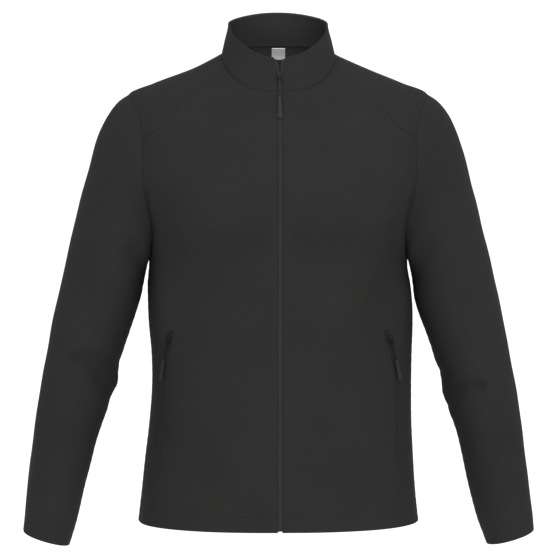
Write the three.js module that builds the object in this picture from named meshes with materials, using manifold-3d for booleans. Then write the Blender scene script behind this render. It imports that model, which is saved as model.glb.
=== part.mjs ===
// Softshell jacket in the shape it has when worn, with no wearer. Millimetres, +Z up, the front faces -Y.
// The origin is the middle of the neck opening, level with the shoulders beside the neck.
import * as THREE from 'three';
import { mergeVertices } from 'three/addons/utils/BufferGeometryUtils.js';
import Module from 'manifold-3d';

const wasm = await Module();
wasm.setup();

// Walls and clearances
const CLOTH = 2.0;
const COLLAR_CLOTH = 2.4;
const SEAM_INSET = 0.15;
const CLEARANCE = 0.3;

// Centre front: half the space between the front edges, and how far the open zip spreads at the rim
const FRONT_EDGE = 3.15;
const OPEN_SPREAD = 5.0;
const OPEN_FROM = -24;
const OPEN_TO = -1;

// Heights of the body form at the centre front
const HEM = -687;
const NECKLINE = -49;
const UNDERARM = -300;

// Rings of the body form. front, side and back are a ring's heights there, the other sizes are in plan.
// square is the power of its curve, where 2 is an ellipse, and dip the power of its fall to the front.
const RING_COLUMNS = ['front', 'side', 'back', 'halfWidth', 'frontDepth', 'backDepth', 'square', 'dip'];
const BODY_RINGS = [
  [-687, -685.5, -687, 206.5, 130.0, 125.0, 2.4, 2.0],
  [-640, -640, -640, 201.5, 128.0, 121.0, 2.4, 2.0],
  [-590, -590, -590, 197.2, 126.0, 116.0, 2.4, 2.0],
  [-540, -540, -540, 193.0, 124.0, 110.0, 2.4, 2.0],
  [-490, -490, -490, 190.8, 122.0, 105.0, 2.4, 2.0],
  [-440, -440, -440, 191.2, 122.0, 104.0, 2.4, 2.0],
  [-390, -390, -390, 193.8, 125.0, 108.0, 2.4, 2.0],
  [-340, -340, -340, 193.2, 130.0, 114.0, 2.4, 2.0],
  [-300, -296, -298, 190.0, 134.0, 118.5, 2.4, 2.0],
  [-275, -263, -268, 203.0, 136.0, 121.0, 2.4, 2.0],
  [-240, -212, -226, 225.0, 137.5, 122.5, 2.4, 2.0],
  [-200, -150, -176, 236.0, 136.0, 121.0, 2.4, 2.0],
  [-165, -98, -129, 233.0, 132.5, 117.0, 2.4, 2.0],
  [-135, -58, -88, 219.0, 128.0, 110.0, 2.4, 2.0],
  [-108, -41.5, -57, 182.0, 121.5, 103.0, 2.4, 2.0],
  [-82, -26.2, -29, 142.0, 112.5, 94.0, 2.45, 1.8],
  [-62, -11, -4, 107.0, 104.0, 82.0, 2.5, 1.6],
  [-49, -1, 10.6, 83.0, 98.0, 70.0, 2.6, 1.5],
];

// Rings of the collar, keyed by the share of its height. lean makes the sides rise from front to back.
const COLLAR_COLUMNS = ['share', ...RING_COLUMNS, 'lean'];
const LEAN_BEHIND = 0.35;
const COLLAR_RINGS = [
  [0.0, -49, -1, 10.6, 83.0, 98.0, 70.0, 2.6, 1.5, 0],
  [0.35, -32, 17, 28.0, 79.0, 91.0, 65.5, 2.5, 1.8, 0.15],
  [0.7, -15, 33.5, 46.0, 74.8, 84.5, 61.5, 2.35, 2.1, 0.4],
  [1.0, -1, 46.5, 60.5, 72.2, 79.0, 58.5, 2.2, 1.9, 0.6],
];

const COLLAR_SHARES = [0, 0.25, 0.5, 0.75, 1];

// Both sides of the waist sway a little to the right
const SWAY = { height: -462, reach: 112, shift: 5.4, top: -302, fade: 50 };

// Where the arms meet the body the cloth is drawn in. It fades out towards the rim of the body, near y = 0.
const ARMPIT = { x: 190, width: 15, z: -243, height: 36, front: 9.0, back: 7.0, rim: 50 };

// Seam lines as seen from the front or from behind: distance from the centre line and height
const FRONT_JUNCTION = [198, -118];
const BACK_JUNCTION = [200, -112];
const FRONT_ARMHOLE = [
  [186.8, -290],
  [184.8, -268],
  [186, -242],
  [191, -220],
  [196, -195],
  [198, -170],
  [198, -147],
];
const BACK_ARMHOLE = [[188, -290], [188, -262], [192, -235], [198, -205], [200, -175], [200, -147]];
const FRONT_SHOULDER = [[200.5, -98], [205.5, -80], [212, -66]];
const BACK_SHOULDER = [[202, -94], [206.5, -78], [212.5, -65]];
const SHOULDER_POINT = { turn: Math.PI / 2, ring: -135 };
const FRONT_YOKE_SEAM = [[84, -22], [97, -33], [117, -46], [136, -61], [152, -79], [170, -98], [184, -109]];
const BACK_YOKE_SEAM = [[97, -18], [117, -31], [136, -46], [152, -63], [170, -83], [184, -99]];
const NECK_SEAM_FRONT = 78;
const NECK_SEAM_BACK = 72;

// How many steps each seam is cut into; pieces that share a seam share its points
const STEPS = { neckFront: 9, neckShoulder: 8, neckBack: 14, yokeSeam: 7, sideSeam: 13, armhole: 6 };
const SIDE_LINE_POINTS = 9;
const FRONT_ROWS = STEPS.sideSeam + STEPS.armhole + STEPS.yokeSeam;

// Sleeve sections down the arm: outer and inner edge seen from the front, half the depth and its middle
const SLEEVE_COLUMNS = ['down', 'outerX', 'outerZ', 'innerX', 'innerZ', 'halfDepth', 'middle'];
const SLEEVE_SECTIONS = [
  [0, 219, -58, 190.0, -296, 85.0, 0],
  [12, 236, -70, 190.6, -300, 83.5, 0],
  [25, 250, -88, 191.4, -304.5, 82.0, 0],
  [40, 260.5, -110, 192.6, -310, 81.0, 0],
  [55, 268, -132, 194.0, -316, 80.0, 0],
  [70, 274, -153, 195.6, -323, 79.0, 0],
  [95, 283, -187, 198.2, -339, 77.5, 0],
  [120, 291, -215, 201.5, -359, 76.0, 1],
  [151, 300, -250, 209.5, -385, 74.0, 2],
  [191, 312, -297, 220.5, -414, 71.0, 3],
  [231, 322, -345, 231.5, -444, 67.5, 3],
  [275, 333, -397, 239.5, -476, 64.0, 1],
  [315, 342, -443, 246.5, -508, 61.0, -3],
  [355, 351, -492, 258.0, -538, 58.0, -8],
  [397, 358, -540, 269.0, -571, 55.5, -13],
  [452, 365.5, -600, 281.0, -620, 53.0, -19],
  [506, 371.0, -654, 293.0, -672, 50.0, -25],
  [552, 376.0, -697, 307.0, -717.5, 47.0, -29],
];
const SLEEVE_LENGTH = 552;
const SLEEVE_HEAD = 75;
const SLEEVE_SQUARE = 2.1;

// Shares of the sleeve's length at which its rows stand, closer at the head and at the elbow
const SLEEVE_SHARES = [
  0, 0.016, 0.034, 0.056, 0.082, 0.112, 0.15, 0.195, 0.245, 0.3, 0.355, 0.4, 0.435,
  0.465, 0.492, 0.518, 0.543, 0.568, 0.593, 0.62, 0.655, 0.7, 0.755, 0.82, 0.91, 1,
];

// Largest folds of the sleeves. down is along the sleeve, around is in degrees from its outer edge to the
// front. A fold runs from the first place to the second. depth is inwards, and a negative one is a ridge.
const FOLD_COLUMNS = ['down1', 'around1', 'down2', 'around2', 'depth', 'width'];
const SLEEVE_FOLDS = {
  left: [
    [294, 65, 281, 92, 5.0, 6.5],
    [281, 92, 288, 152, 5.5, 15],
    [262, 66, 240, 125, -2.0, 14],
    [236, 190, 258, 130, 2.0, 12],
    [280, 205, 284, 165, -2.2, 14],
    [320, 205, 302, 140, 1.5, 12],
    [105, 180, 190, 180, 2.8, 22],
    [262, 180, 300, 180, -2.2, 14],
    [420, 180, 540, 180, 1.5, 24],
    [400, 0, 560, 0, 1.3, 26],
    [250, 215, 310, 300, 4.0, 15],
    [400, 30, 380, 125, 2.5, 20],
    [45, 130, 100, 105, 3.0, 14],
    [60, 165, 135, 120, 3.0, 16],
  ],
  right: [
    [326, 84, 311, 104, 5.0, 6.5],
    [311, 102, 300, 152, 5.5, 12],
    [292, 96, 304, 60, -2.2, 14],
    [255, 190, 275, 135, 2.0, 12],
    [298, 205, 303, 165, -2.0, 14],
    [338, 205, 320, 140, 1.5, 12],
    [212, 180, 262, 180, -2.6, 20],
    [325, 180, 352, 180, -2.8, 16],
    [370, 180, 545, 180, -2.8, 26],
    [265, 220, 325, 300, 4.0, 15],
    [420, 25, 392, 130, 2.5, 20],
    [45, 130, 105, 103, 3.0, 14],
    [70, 168, 145, 115, 3.0, 16],
  ],
};

// Pocket zip line as seen from the front, top first, and how far both zips hang to the wearer's right.
// The slider sits at one of the line's steps, and its pull hangs towards another, lower one.
const POCKET_LINE = [
  [155.5, -398],
  [162.2, -420],
  [167.5, -453],
  [170.5, -487],
  [173.5, -540],
  [175.2, -591],
];
const POCKET_SHIFT = 2.8;
const POCKET_ZIP = { halfWidth: 3.0, chamfer: 0.5, thickness: 1.2, steps: 12 };
const POCKET_SLIDER = { step: 1, towards: 4 };

// Centre front zip and the guard behind it: distances from the centre line, depths under the cloth's face.
// end is how far above the hem they start, and top the share of the collar's height they reach.
const ZIP = {
  inner: 0.15,
  teeth: 2.85,
  tape: 11,
  teethTop: 0.6,
  tapeTop: 3.0,
  tapeBack: 3.9,
  end: 2.0,
  top: 0.96,
};
const GUARD = { left: -14, right: 9, front: 4.2, back: 5.4, top: 0.86 };

// Slider and pull, the same on the three zips
const SLIDER = { width: 8.4, foot: 6.4, length: 12.5, above: 0.72, thickness: 2.2, round: 2.0, edge: 0.4 };
const EYE = { pin: 0.8, hole: 1.15, outer: 2.1, width: 2.4, height: 2.4, sunk: 0.5 };
const CHEEK = { thick: 1.0, below: 2.0, above: 4.2, round: 1.4, cap: 0.8 };
const PULL = { stem: 2.0, stemThick: 1.5, stemEnd: 26, length: 62 };
const GRIP = { top: 4.6, foot: 7.2, thick: 2.4, round: 1.9, edge: 0.5 };
const FRONT_SLIDER_SHARE = 0.38;

// How far each pull leans in towards the cloth, in degrees
const FRONT_PULL_LEAN = 1.6;
const POCKET_PULL_LEAN = 1.5;

// Neck label, hanging inside from the back neck seam
const LABEL = {
  middle: 2,
  halfWidth: 10,
  top: 1.0,
  drop: 18,
  back: 3.0,
  front: 3.8,
  round: 3,
  rows: 6,
  columns: 7,
};

// Colours
const CHARCOAL = new THREE.Color(0x323232);
const SLATE = new THREE.Color(0x3b3c3e);
const LIGHT_GREY = new THREE.Color(0xb0b0ae);
function finish(color, roughness, metalness) {
  return new THREE.MeshStandardMaterial({ color, roughness, metalness });
}
const clothFinish = () => finish(CHARCOAL, 0.85, 0);
const trimFinish = () => finish(SLATE, 0.55, 0);
const metalFinish = () => finish(SLATE, 0.4, 0.8);
const labelFinish = () => finish(LIGHT_GREY, 0.8, 0);

const QUARTER = Math.PI / 2;
const vector = (x, y, z) => new THREE.Vector3(x, y, z);
const degrees = (angle) => angle * Math.PI / 180;

// A smooth curve through the rows of a table, read at a value of its first column
function rowAt(rows, key) {
  let i = 0;
  while (i < rows.length - 2 && rows[i + 1][0] < key) i += 1;
  const before = rows[Math.max(i - 1, 0)];
  const start = rows[i];
  const end = rows[i + 1];
  const after = rows[Math.min(i + 2, rows.length - 1)];
  const span = end[0] - start[0];
  const t = (key - start[0]) / span;
  return start.map((value, c) => {
    const slopeStart = (end[c] - before[c]) / (end[0] - before[0]);
    const slopeEnd = (after[c] - start[c]) / (after[0] - start[0]);
    const rise = end[c] - value;
    const bend = t * (1 - t);
    const curve = (slopeStart * span - rise) * (1 - t) + (rise - slopeEnd * span) * t;
    return value + rise * t + bend * curve;
  });
}

function named(columns, row) {
  return Object.fromEntries(columns.map((name, i) => [name, row[i]]));
}

// A point on a ring, at a turn from the centre front
function ringPoint(ring, turn) {
  const across = Math.abs(Math.sin(turn)) ** (2 / ring.square);
  const reach = Math.abs(Math.cos(turn)) ** (2 / ring.square);
  const ahead = Math.cos(turn) > 0;
  const end = ahead ? ring.front : ring.back;
  const y = ahead ? -ring.frontDepth * reach : ring.backDepth * reach;
  const rise = (ring.lean ?? 0) * (ahead ? 1 : LEAN_BEHIND) * y * (1 - reach) ** 2;
  const z = ring.side + (end - ring.side) * reach ** ring.dip + rise;
  const bell = Math.exp(-(((z - SWAY.height) / SWAY.reach) ** 2));
  const below = THREE.MathUtils.smoothstep(SWAY.top - z, 0, SWAY.fade);
  const sway = SWAY.shift * across ** 2 * bell * below;
  const x = Math.sign(Math.sin(turn)) * ring.halfWidth * across + sway;
  return vector(x, y, z);
}

// Moves a point of the body inwards where the arm meets it
function drawnIn(point) {
  const depth = point.y < 0 ? ARMPIT.front : -ARMPIT.back;
  const across = Math.exp(-(((Math.abs(point.x) - ARMPIT.x) / ARMPIT.width) ** 2));
  const upwards = Math.exp(-(((point.z - ARMPIT.z) / ARMPIT.height) ** 2));
  const rim = THREE.MathUtils.smoothstep(Math.abs(point.y), 0, ARMPIT.rim);
  return point.setY(point.y + depth * across * upwards * rim);
}

const bodyRing = (height) => named(RING_COLUMNS, rowAt(BODY_RINGS, height));
const collarRing = (share) => named(COLLAR_COLUMNS, rowAt(COLLAR_RINGS, share));
const bodyPoint = (place) => drawnIn(ringPoint(bodyRing(place.ring), place.turn));
const collarPoint = (place) => ringPoint(collarRing(place.ring), place.turn);

// The outward direction of a form at a place, from two short steps along it
function outward(pointAt, place, turnStep, ringStep) {
  const centre = pointAt(place);
  const sideways = pointAt({ turn: place.turn + turnStep, ring: place.ring }).sub(centre);
  const upwards = pointAt({ turn: place.turn, ring: place.ring + ringStep }).sub(centre);
  return sideways.cross(upwards).normalize();
}

const bodyNormal = (place) => outward(bodyPoint, place, 0.002, 0.1);
const collarNormal = (place) => outward(collarPoint, place, 0.002, 0.002);

function turnAtWidth(ring, x, behind) {
  const turn = Math.asin(Math.min(1, x / ring.halfWidth) ** (ring.square / 2));
  return behind ? Math.PI - turn : turn;
}

// The place on the body form that is seen at x and z
function placeSeenAt([x, z], behind) {
  let low = HEM;
  let high = NECKLINE;
  for (let i = 0; i < 40; i += 1) {
    const middle = (low + high) / 2;
    const ring = bodyRing(middle);
    if (ringPoint(ring, turnAtWidth(ring, x, behind)).z < z) low = middle;
    else high = middle;
  }
  return { turn: turnAtWidth(bodyRing(low), x, behind), ring: low };
}

// Places at equal distances along a line on the body form
function spaced(places, steps) {
  const rows = [];
  let length = 0;
  places.forEach((place, i) => {
    if (i > 0) length += bodyPoint(place).distanceTo(bodyPoint(places[i - 1]));
    rows.push([length, place.turn, place.ring]);
  });
  return Array.from({ length: steps + 1 }, (_, i) => {
    const [, turn, ring] = rowAt(rows, length * i / steps);
    return { turn, ring };
  });
}

const joined = (...lines) => lines.reduce((all, line) => [...all, ...line.slice(all.length ? 1 : 0)], []);
const reversed = (line) => line.slice().reverse();
const seen = (table, behind = false) => table.map((row) => placeSeenAt(row, behind));
const neckPlace = (x, behind) => ({ turn: turnAtWidth(bodyRing(NECKLINE), x, behind), ring: NECKLINE });
const LEVEL_SHARES = [0, 0.25, 0.5, 0.75, 1];
const level = (ring, from, to) => LEVEL_SHARES.map((t) => ({ turn: from + (to - from) * t, ring }));
const mirrored = (line) => line.map((place) => ({ turn: 2 * Math.PI - place.turn, ring: place.ring }));
const shares = (count) => Array.from({ length: count }, (_, i) => i / (count - 1));

// The seams of the right half. The left half mirrors them.
const frontJunction = placeSeenAt(FRONT_JUNCTION, false);
const backJunction = placeSeenAt(BACK_JUNCTION, true);
const underarm = { turn: QUARTER, ring: UNDERARM };
const neckFrontEnd = neckPlace(NECK_SEAM_FRONT, false);
const neckBackEnd = neckPlace(NECK_SEAM_BACK, true);
const sideLine = shares(SIDE_LINE_POINTS).map((t) => ({ turn: QUARTER, ring: HEM + (UNDERARM - HEM) * t }));
const frontEdgeTurn = neckPlace(FRONT_EDGE, false).turn;
const shoulderSteps = STEPS.neckShoulder / 2;
const seams = {
  side: spaced(sideLine, STEPS.sideSeam),
  frontArmhole: spaced([underarm, ...seen(FRONT_ARMHOLE), frontJunction], STEPS.armhole),
  backArmhole: spaced([underarm, ...seen(BACK_ARMHOLE, true), backJunction], STEPS.armhole),
  frontShoulder: spaced([frontJunction, ...seen(FRONT_SHOULDER), SHOULDER_POINT], shoulderSteps),
  backShoulder: spaced([backJunction, ...seen(BACK_SHOULDER, true), SHOULDER_POINT], shoulderSteps),
  frontYoke: spaced([neckFrontEnd, ...seen(FRONT_YOKE_SEAM), frontJunction], STEPS.yokeSeam),
  backYoke: spaced([neckBackEnd, ...seen(BACK_YOKE_SEAM, true), backJunction], STEPS.yokeSeam),
  neckFront: spaced(level(NECKLINE, frontEdgeTurn, neckFrontEnd.turn), STEPS.neckFront),
  neckShoulder: spaced(level(NECKLINE, neckFrontEnd.turn, neckBackEnd.turn), STEPS.neckShoulder),
  neckBack: spaced(level(NECKLINE, neckBackEnd.turn, 2 * Math.PI - neckBackEnd.turn), STEPS.neckBack),
};

// Rings at which the front edges are cut
const frontEdgeRings = shares(FRONT_ROWS + 1).map((t) => HEM + (NECKLINE - HEM) * t);

// Places inside four edges. bottom and top run the same way, and so do start and end.
function patch(bottom, top, start, end) {
  const columns = bottom.length - 1;
  const rows = start.length - 1;
  const mix = (key, i, j) => {
    const u = i / columns;
    const v = j / rows;
    const lines = (1 - v) * bottom[i][key] + v * top[i][key] + (1 - u) * start[j][key] + u * end[j][key];
    const low = (1 - u) * bottom[0][key] + u * bottom[columns][key];
    const high = (1 - u) * top[0][key] + u * top[columns][key];
    return lines - (1 - v) * low - v * high;
  };
  return start.map((_, j) => bottom.map((__, i) => ({ turn: mix('turn', i, j), ring: mix('ring', i, j) })));
}

// The right sleeve. Its armhole is the ring of the seams' own points, from the shoulder point forwards.
const armholeLoop = joined(
  reversed(seams.frontShoulder),
  reversed(seams.frontArmhole),
  seams.backArmhole,
  seams.backShoulder,
);
const aroundKeys = measureLoop(armholeLoop);

// The angle of each armhole point round the sleeve, by its distance along the loop
function measureLoop(loop) {
  const distances = [0];
  for (let i = 1; i < loop.length; i += 1) {
    distances.push(distances[i - 1] + bodyPoint(loop[i]).distanceTo(bodyPoint(loop[i - 1])));
  }
  return distances.map((distance) => 2 * Math.PI * distance / distances[loop.length - 1]);
}

function sectionPoint(section, around) {
  const cosine = Math.cos(around);
  const sine = Math.sin(around);
  const out = Math.sign(cosine) * Math.abs(cosine) ** (2 / SLEEVE_SQUARE);
  const ahead = Math.sign(sine) * Math.abs(sine) ** (2 / SLEEVE_SQUARE);
  const x = (section.outerX + section.innerX + (section.outerX - section.innerX) * out) / 2;
  const z = (section.outerZ + section.innerZ + (section.outerZ - section.innerZ) * out) / 2;
  return vector(x, section.middle - section.halfDepth * ahead, z);
}

const sleeveSection = (down) => named(SLEEVE_COLUMNS, rowAt(SLEEVE_SECTIONS, down));
const headRows = armholeLoop.map((place, i) => {
  const miss = bodyPoint(place).sub(sectionPoint(sleeveSection(0), aroundKeys[i]));
  return [aroundKeys[i], miss.x, miss.y, miss.z];
});
const [beforeLast] = headRows.slice(-2);
const closedHeadRows = [
  [beforeLast[0] - 2 * Math.PI, ...beforeLast.slice(1)],
  ...headRows,
  [headRows[1][0] + 2 * Math.PI, ...headRows[1].slice(1)],
];

// How far a fold moves a point inwards
function foldDepth(folds, down, around) {
  const section = sleeveSection(down);
  const width = Math.hypot(section.outerX - section.innerX, section.outerZ - section.innerZ);
  const radius = (section.halfDepth + width / 2) / 2;
  let depth = 0;
  for (const row of folds) {
    const fold = named(FOLD_COLUMNS, row);
    const alongDown = fold.down2 - fold.down1;
    const alongAround = degrees(fold.around2 - fold.around1) * radius;
    const toDown = down - fold.down1;
    const toAround = (around - degrees(fold.around1)) * radius;
    const length = Math.hypot(alongDown, alongAround);
    const t = THREE.MathUtils.clamp((toDown * alongDown + toAround * alongAround) / length ** 2, 0, 1);
    const distance = Math.hypot(toDown - t * alongDown, toAround - t * alongAround);
    depth += fold.depth * (0.35 + 0.65 * Math.sin(Math.PI * t)) * Math.exp(-((distance / fold.width) ** 2));
  }
  return depth;
}

function smoothSleevePoint(place) {
  const fade = THREE.MathUtils.clamp(1 - place.ring / SLEEVE_HEAD, 0, 1);
  const turn = place.turn;
  const [, x, y, z] = rowAt(closedHeadRows, turn);
  const hold = fade * fade * (3 - 2 * fade);
  return sectionPoint(sleeveSection(place.ring), turn).add(vector(x, y, z).multiplyScalar(hold));
}

const sleeveNormal = (place) => outward(smoothSleevePoint, place, 0.004, 0.1);

function sleevePoint(place, folds) {
  const depth = foldDepth(folds, place.ring, place.turn);
  return smoothSleevePoint(place).addScaledVector(sleeveNormal(place), -depth);
}

// Short moves that take a panel's edge back from the seam line, away from the plane between the two walls
function insetEdges(points, depths, closed) {
  const rows = points.length;
  const columns = points[0].length;
  const moves = points.map((row) => row.map(() => vector(0, 0, 0)));
  const move = (j, i, before, after, inside) => {
    const across = after.clone().sub(before).cross(depths[j][i]).normalize();
    if (across.dot(inside.clone().sub(points[j][i])) < 0) across.negate();
    moves[j][i].addScaledVector(across, SEAM_INSET);
  };
  for (let i = 0; i < columns; i += 1) {
    const left = closed ? (i + columns - 1) % columns : Math.max(i - 1, 0);
    const right = closed ? (i + 1) % columns : Math.min(i + 1, columns - 1);
    move(0, i, points[0][left], points[0][right], points[1][i]);
    move(rows - 1, i, points[rows - 1][left], points[rows - 1][right], points[rows - 2][i]);
  }
  if (!closed) {
    for (let j = 0; j < rows; j += 1) {
      const below = Math.max(j - 1, 0);
      const above = Math.min(j + 1, rows - 1);
      move(j, 0, points[below][0], points[above][0], points[j][1]);
      move(j, columns - 1, points[below][columns - 1], points[above][columns - 1], points[j][columns - 2]);
    }
  }
  points.forEach((row, j) => row.forEach((point, i) => point.add(moves[j][i])));
}

// The inner face of a wall: each outer point moved by its depth
function wallBack(outer, depths, thickness) {
  const moved = (point, depth) => point.clone().addScaledVector(depth, -thickness);
  return outer.map((row, j) => row.map((point, i) => moved(point, depths[j][i])));
}

// A closed body between an outer and an inner grid of points
function shell(outer, inner, closed) {
  const rows = outer.length;
  const columns = outer[0].length;
  const positions = [];
  const indices = [];
  for (const grid of [outer, inner]) {
    grid.forEach((row) => row.forEach((point) => positions.push(point.x, point.y, point.z)));
  }
  const at = (side, j, i) => side * rows * columns + j * columns + (i % columns);
  const quad = (a, b, c, d) => indices.push(a, b, c, a, c, d);
  const spans = closed ? columns : columns - 1;
  for (let j = 0; j < rows - 1; j += 1) {
    for (let i = 0; i < spans; i += 1) {
      quad(at(0, j, i), at(0, j, i + 1), at(0, j + 1, i + 1), at(0, j + 1, i));
      quad(at(1, j, i), at(1, j + 1, i), at(1, j + 1, i + 1), at(1, j, i + 1));
    }
  }
  for (let i = 0; i < spans; i += 1) {
    quad(at(0, 0, i), at(1, 0, i), at(1, 0, i + 1), at(0, 0, i + 1));
    quad(at(0, rows - 1, i), at(0, rows - 1, i + 1), at(1, rows - 1, i + 1), at(1, rows - 1, i));
  }
  if (!closed) {
    const last = columns - 1;
    for (let j = 0; j < rows - 1; j += 1) {
      quad(at(0, j, 0), at(0, j + 1, 0), at(1, j + 1, 0), at(1, j, 0));
      quad(at(0, j, last), at(1, j, last), at(1, j + 1, last), at(0, j + 1, last));
    }
  }
  return outwardFacing(positions, indices);
}

function outwardFacing(positions, indices) {
  const corner = (index) => vector(...positions.slice(3 * index, 3 * index + 3));
  let volume = 0;
  for (let i = 0; i < indices.length; i += 3) {
    volume += corner(indices[i]).dot(corner(indices[i + 1]).cross(corner(indices[i + 2])));
  }
  if (volume < 0) indices.reverse();
  const geometry = new THREE.BufferGeometry();
  geometry.setAttribute('position', new THREE.Float32BufferAttribute(positions, 3));
  geometry.setIndex(indices);
  geometry.computeVertexNormals();
  return geometry;
}

const jacket = new THREE.Group();

function addMesh(name, geometry, material) {
  const mesh = new THREE.Mesh(geometry, material);
  mesh.name = name;
  jacket.add(mesh);
  return mesh;
}

// Where the normals of two forms meet at a seam, both walls end on the plane between them
function mitre(own, other) {
  const between = own.clone().add(other).normalize();
  return between.divideScalar(Math.max(between.dot(own), 0.5));
}

// The normals of the sleeve and collar along their seams, found by the seam point they share
const seamPartners = [];

function partnerAt(point) {
  return seamPartners.find((partner) => partner.point.distanceToSquared(point) < 1e-6);
}

function addPanel(name, places, pointAt, normalAt, thickness) {
  const outer = places.map((row) => row.map((place) => pointAt(place)));
  const normals = places.map((row) => row.map((place) => normalAt(place)));
  const depths = outer.map((row, j) => row.map((point, i) => {
    const partner = partnerAt(point);
    return partner ? mitre(normals[j][i], partner.normal) : normals[j][i].clone();
  }));
  insetEdges(outer, depths, false);
  addMesh(name, shell(outer, wallBack(outer, depths, thickness), false), clothFinish());
}

const sides = { right: 1, left: -1 };
const facing = (point, sign) => vector(point.x * sign, point.y, point.z);

// Sleeves: the same sections on each side, with the folds of that side
function addSleeve(side, sign) {
  const folds = SLEEVE_FOLDS[side];
  const outer = [];
  const normals = [];
  SLEEVE_SHARES.forEach((share) => {
    const places = aroundKeys.slice(0, -1).map((turn) => ({ turn, ring: share * SLEEVE_LENGTH }));
    outer.push(places.map((place) => facing(sleevePoint(place, share > 0 ? folds : []), sign)));
    normals.push(places.map((place) => facing(sleeveNormal(place), sign)));
  });
  const depths = normals.map((row, j) => row.map((normal, i) => {
    if (j > 0) return normal.clone();
    const bodyOutward = facing(bodyNormal(armholeLoop[i]), sign);
    seamPartners.push({ point: outer[0][i].clone(), normal });
    return mitre(normal, bodyOutward);
  }));
  insetEdges(outer, depths, true);
  addMesh(`sleeve_${side}`, shell(outer, wallBack(outer, depths, CLOTH), true), clothFinish());
}

// How far the open zip edges stand apart, beyond their closed place
function openSpread(z) {
  const t = THREE.MathUtils.clamp((z - OPEN_FROM) / (OPEN_TO - OPEN_FROM), 0, 1);
  return OPEN_SPREAD * t ** 1.3;
}

// The collar band: round the back from one front edge to the other
const neckHalf = joined(seams.neckFront, seams.neckShoulder);
const neckAll = joined(neckHalf, seams.neckBack, reversed(mirrored(neckHalf)));

function addCollar() {
  const places = COLLAR_SHARES.map((share) => {
    const ring = collarRing(share);
    const edge = turnAtWidth(ring, FRONT_EDGE + openSpread(ring.front), false);
    const first = neckAll[0].turn;
    const scale = (Math.PI - edge) / (Math.PI - first);
    return neckAll.map((place) => ({ turn: Math.PI + (place.turn - Math.PI) * scale, ring: share }));
  });
  const outer = places.map((row) => row.map((place) => collarPoint(place)));
  const normals = places.map((row) => row.map((place) => collarNormal(place)));
  const depths = normals.map((row, j) => row.map((normal, i) => {
    if (j > 0) return normal.clone();
    seamPartners.push({ point: outer[0][i].clone(), normal });
    return mitre(normal, bodyNormal(neckAll[i]));
  }));
  insetEdges(outer, depths, false);
  addMesh('collar', shell(outer, wallBack(outer, depths, COLLAR_CLOTH), false), clothFinish());
}

function addFront(side, sign) {
  const edgeTurn = (ring) => turnAtWidth(bodyRing(ring), FRONT_EDGE, false);
  const edge = frontEdgeRings.map((ring) => ({ turn: edgeTurn(ring), ring }));
  const hem = spaced(level(HEM, edge[0].turn, QUARTER), STEPS.neckFront);
  const outside = joined(seams.side, seams.frontArmhole, reversed(seams.frontYoke));
  const places = patch(hem, seams.neckFront, edge, outside);
  const turned = places.map((row) => row.map((place) => ({ turn: place.turn * sign, ring: place.ring })));
  addPanel(`front_${side}`, turned, bodyPoint, bodyNormal, CLOTH);
}

function addBack() {
  const hem = spaced(level(HEM, QUARTER, 3 * QUARTER), STEPS.neckBack);
  const edge = joined(seams.side, seams.backArmhole, reversed(seams.backYoke));
  addPanel('back', patch(hem, seams.neckBack, edge, mirrored(edge)), bodyPoint, bodyNormal, CLOTH);
}

function addYoke(side, sign) {
  const armhole = joined(seams.frontShoulder, reversed(seams.backShoulder));
  const places = patch(seams.frontYoke, seams.backYoke, seams.neckShoulder, armhole);
  const turned = places.map((row) => row.map((place) => ({ turn: place.turn * sign, ring: place.ring })));
  addPanel(`yoke_${side}`, turned, bodyPoint, bodyNormal, CLOTH);
}

// The outward direction on the centre line, where the form's own two sides meet
function centreNormal(normalAt, ring) {
  const beside = normalAt({ turn: 0.001, ring });
  return vector(0, beside.y, beside.z).normalize();
}

// Stations up the centre front: a point of the cloth's outer face, its outward direction and the spread
function centreStations(fromEnd, topShare) {
  const onBody = frontEdgeRings.map((ring) => ({ pointAt: bodyPoint, normalAt: bodyNormal, ring }));
  onBody[0].ring += fromEnd;
  const onCollar = COLLAR_SHARES.slice(1).map((share) => {
    return { pointAt: collarPoint, normalAt: collarNormal, ring: Math.min(share, topShare) };
  });
  return [...onBody, ...onCollar].map(({ pointAt, normalAt, ring }) => {
    const point = pointAt({ turn: 0, ring });
    return { point, normal: centreNormal(normalAt, ring), spread: openSpread(point.z) };
  });
}

// A closed strip: a flat outline of [across, depth] corners carried along stations
function addStrip(name, stations, outline, material) {
  const positions = [];
  const indices = [];
  const count = outline.length;
  stations.forEach((station) => outline.forEach(([across, depth]) => {
    const point = station.point.clone().addScaledVector(station.normal, -depth);
    const move = station.across ?? vector(1, 0, 0);
    point.addScaledVector(move, across + Math.sign(across) * (station.spread ?? 0));
    positions.push(point.x, point.y, point.z);
  }));
  for (let j = 0; j < stations.length - 1; j += 1) {
    for (let i = 0; i < count; i += 1) {
      const a = j * count + i;
      const b = j * count + (i + 1) % count;
      indices.push(a, b, b + count, a, b + count, a + count);
    }
  }
  const flat = outline.map(([across, depth]) => new THREE.Vector2(across, depth));
  const last = (stations.length - 1) * count;
  const cap = THREE.ShapeUtils.triangulateShape(flat, []);
  cap.forEach(([a, b, c]) => {
    const turned = (b - a + count) % count < (c - a + count) % count;
    const face = turned ? [a, b, c] : [a, c, b];
    indices.push(face[0], face[2], face[1], last + face[0], last + face[1], last + face[2]);
  });
  addMesh(name, outwardFacing(positions, indices), material);
}

function addZipHalf(side, sign) {
  const outline = [
    [ZIP.inner, ZIP.teethTop],
    [ZIP.teeth, ZIP.teethTop],
    [ZIP.teeth, ZIP.tapeTop],
    [ZIP.tape, ZIP.tapeTop],
    [ZIP.tape, ZIP.tapeBack],
    [ZIP.inner, ZIP.tapeBack],
  ].map(([across, depth]) => [across * sign, depth]);
  addStrip(`zip_${side}`, centreStations(ZIP.end, ZIP.top), outline, trimFinish());
}

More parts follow.
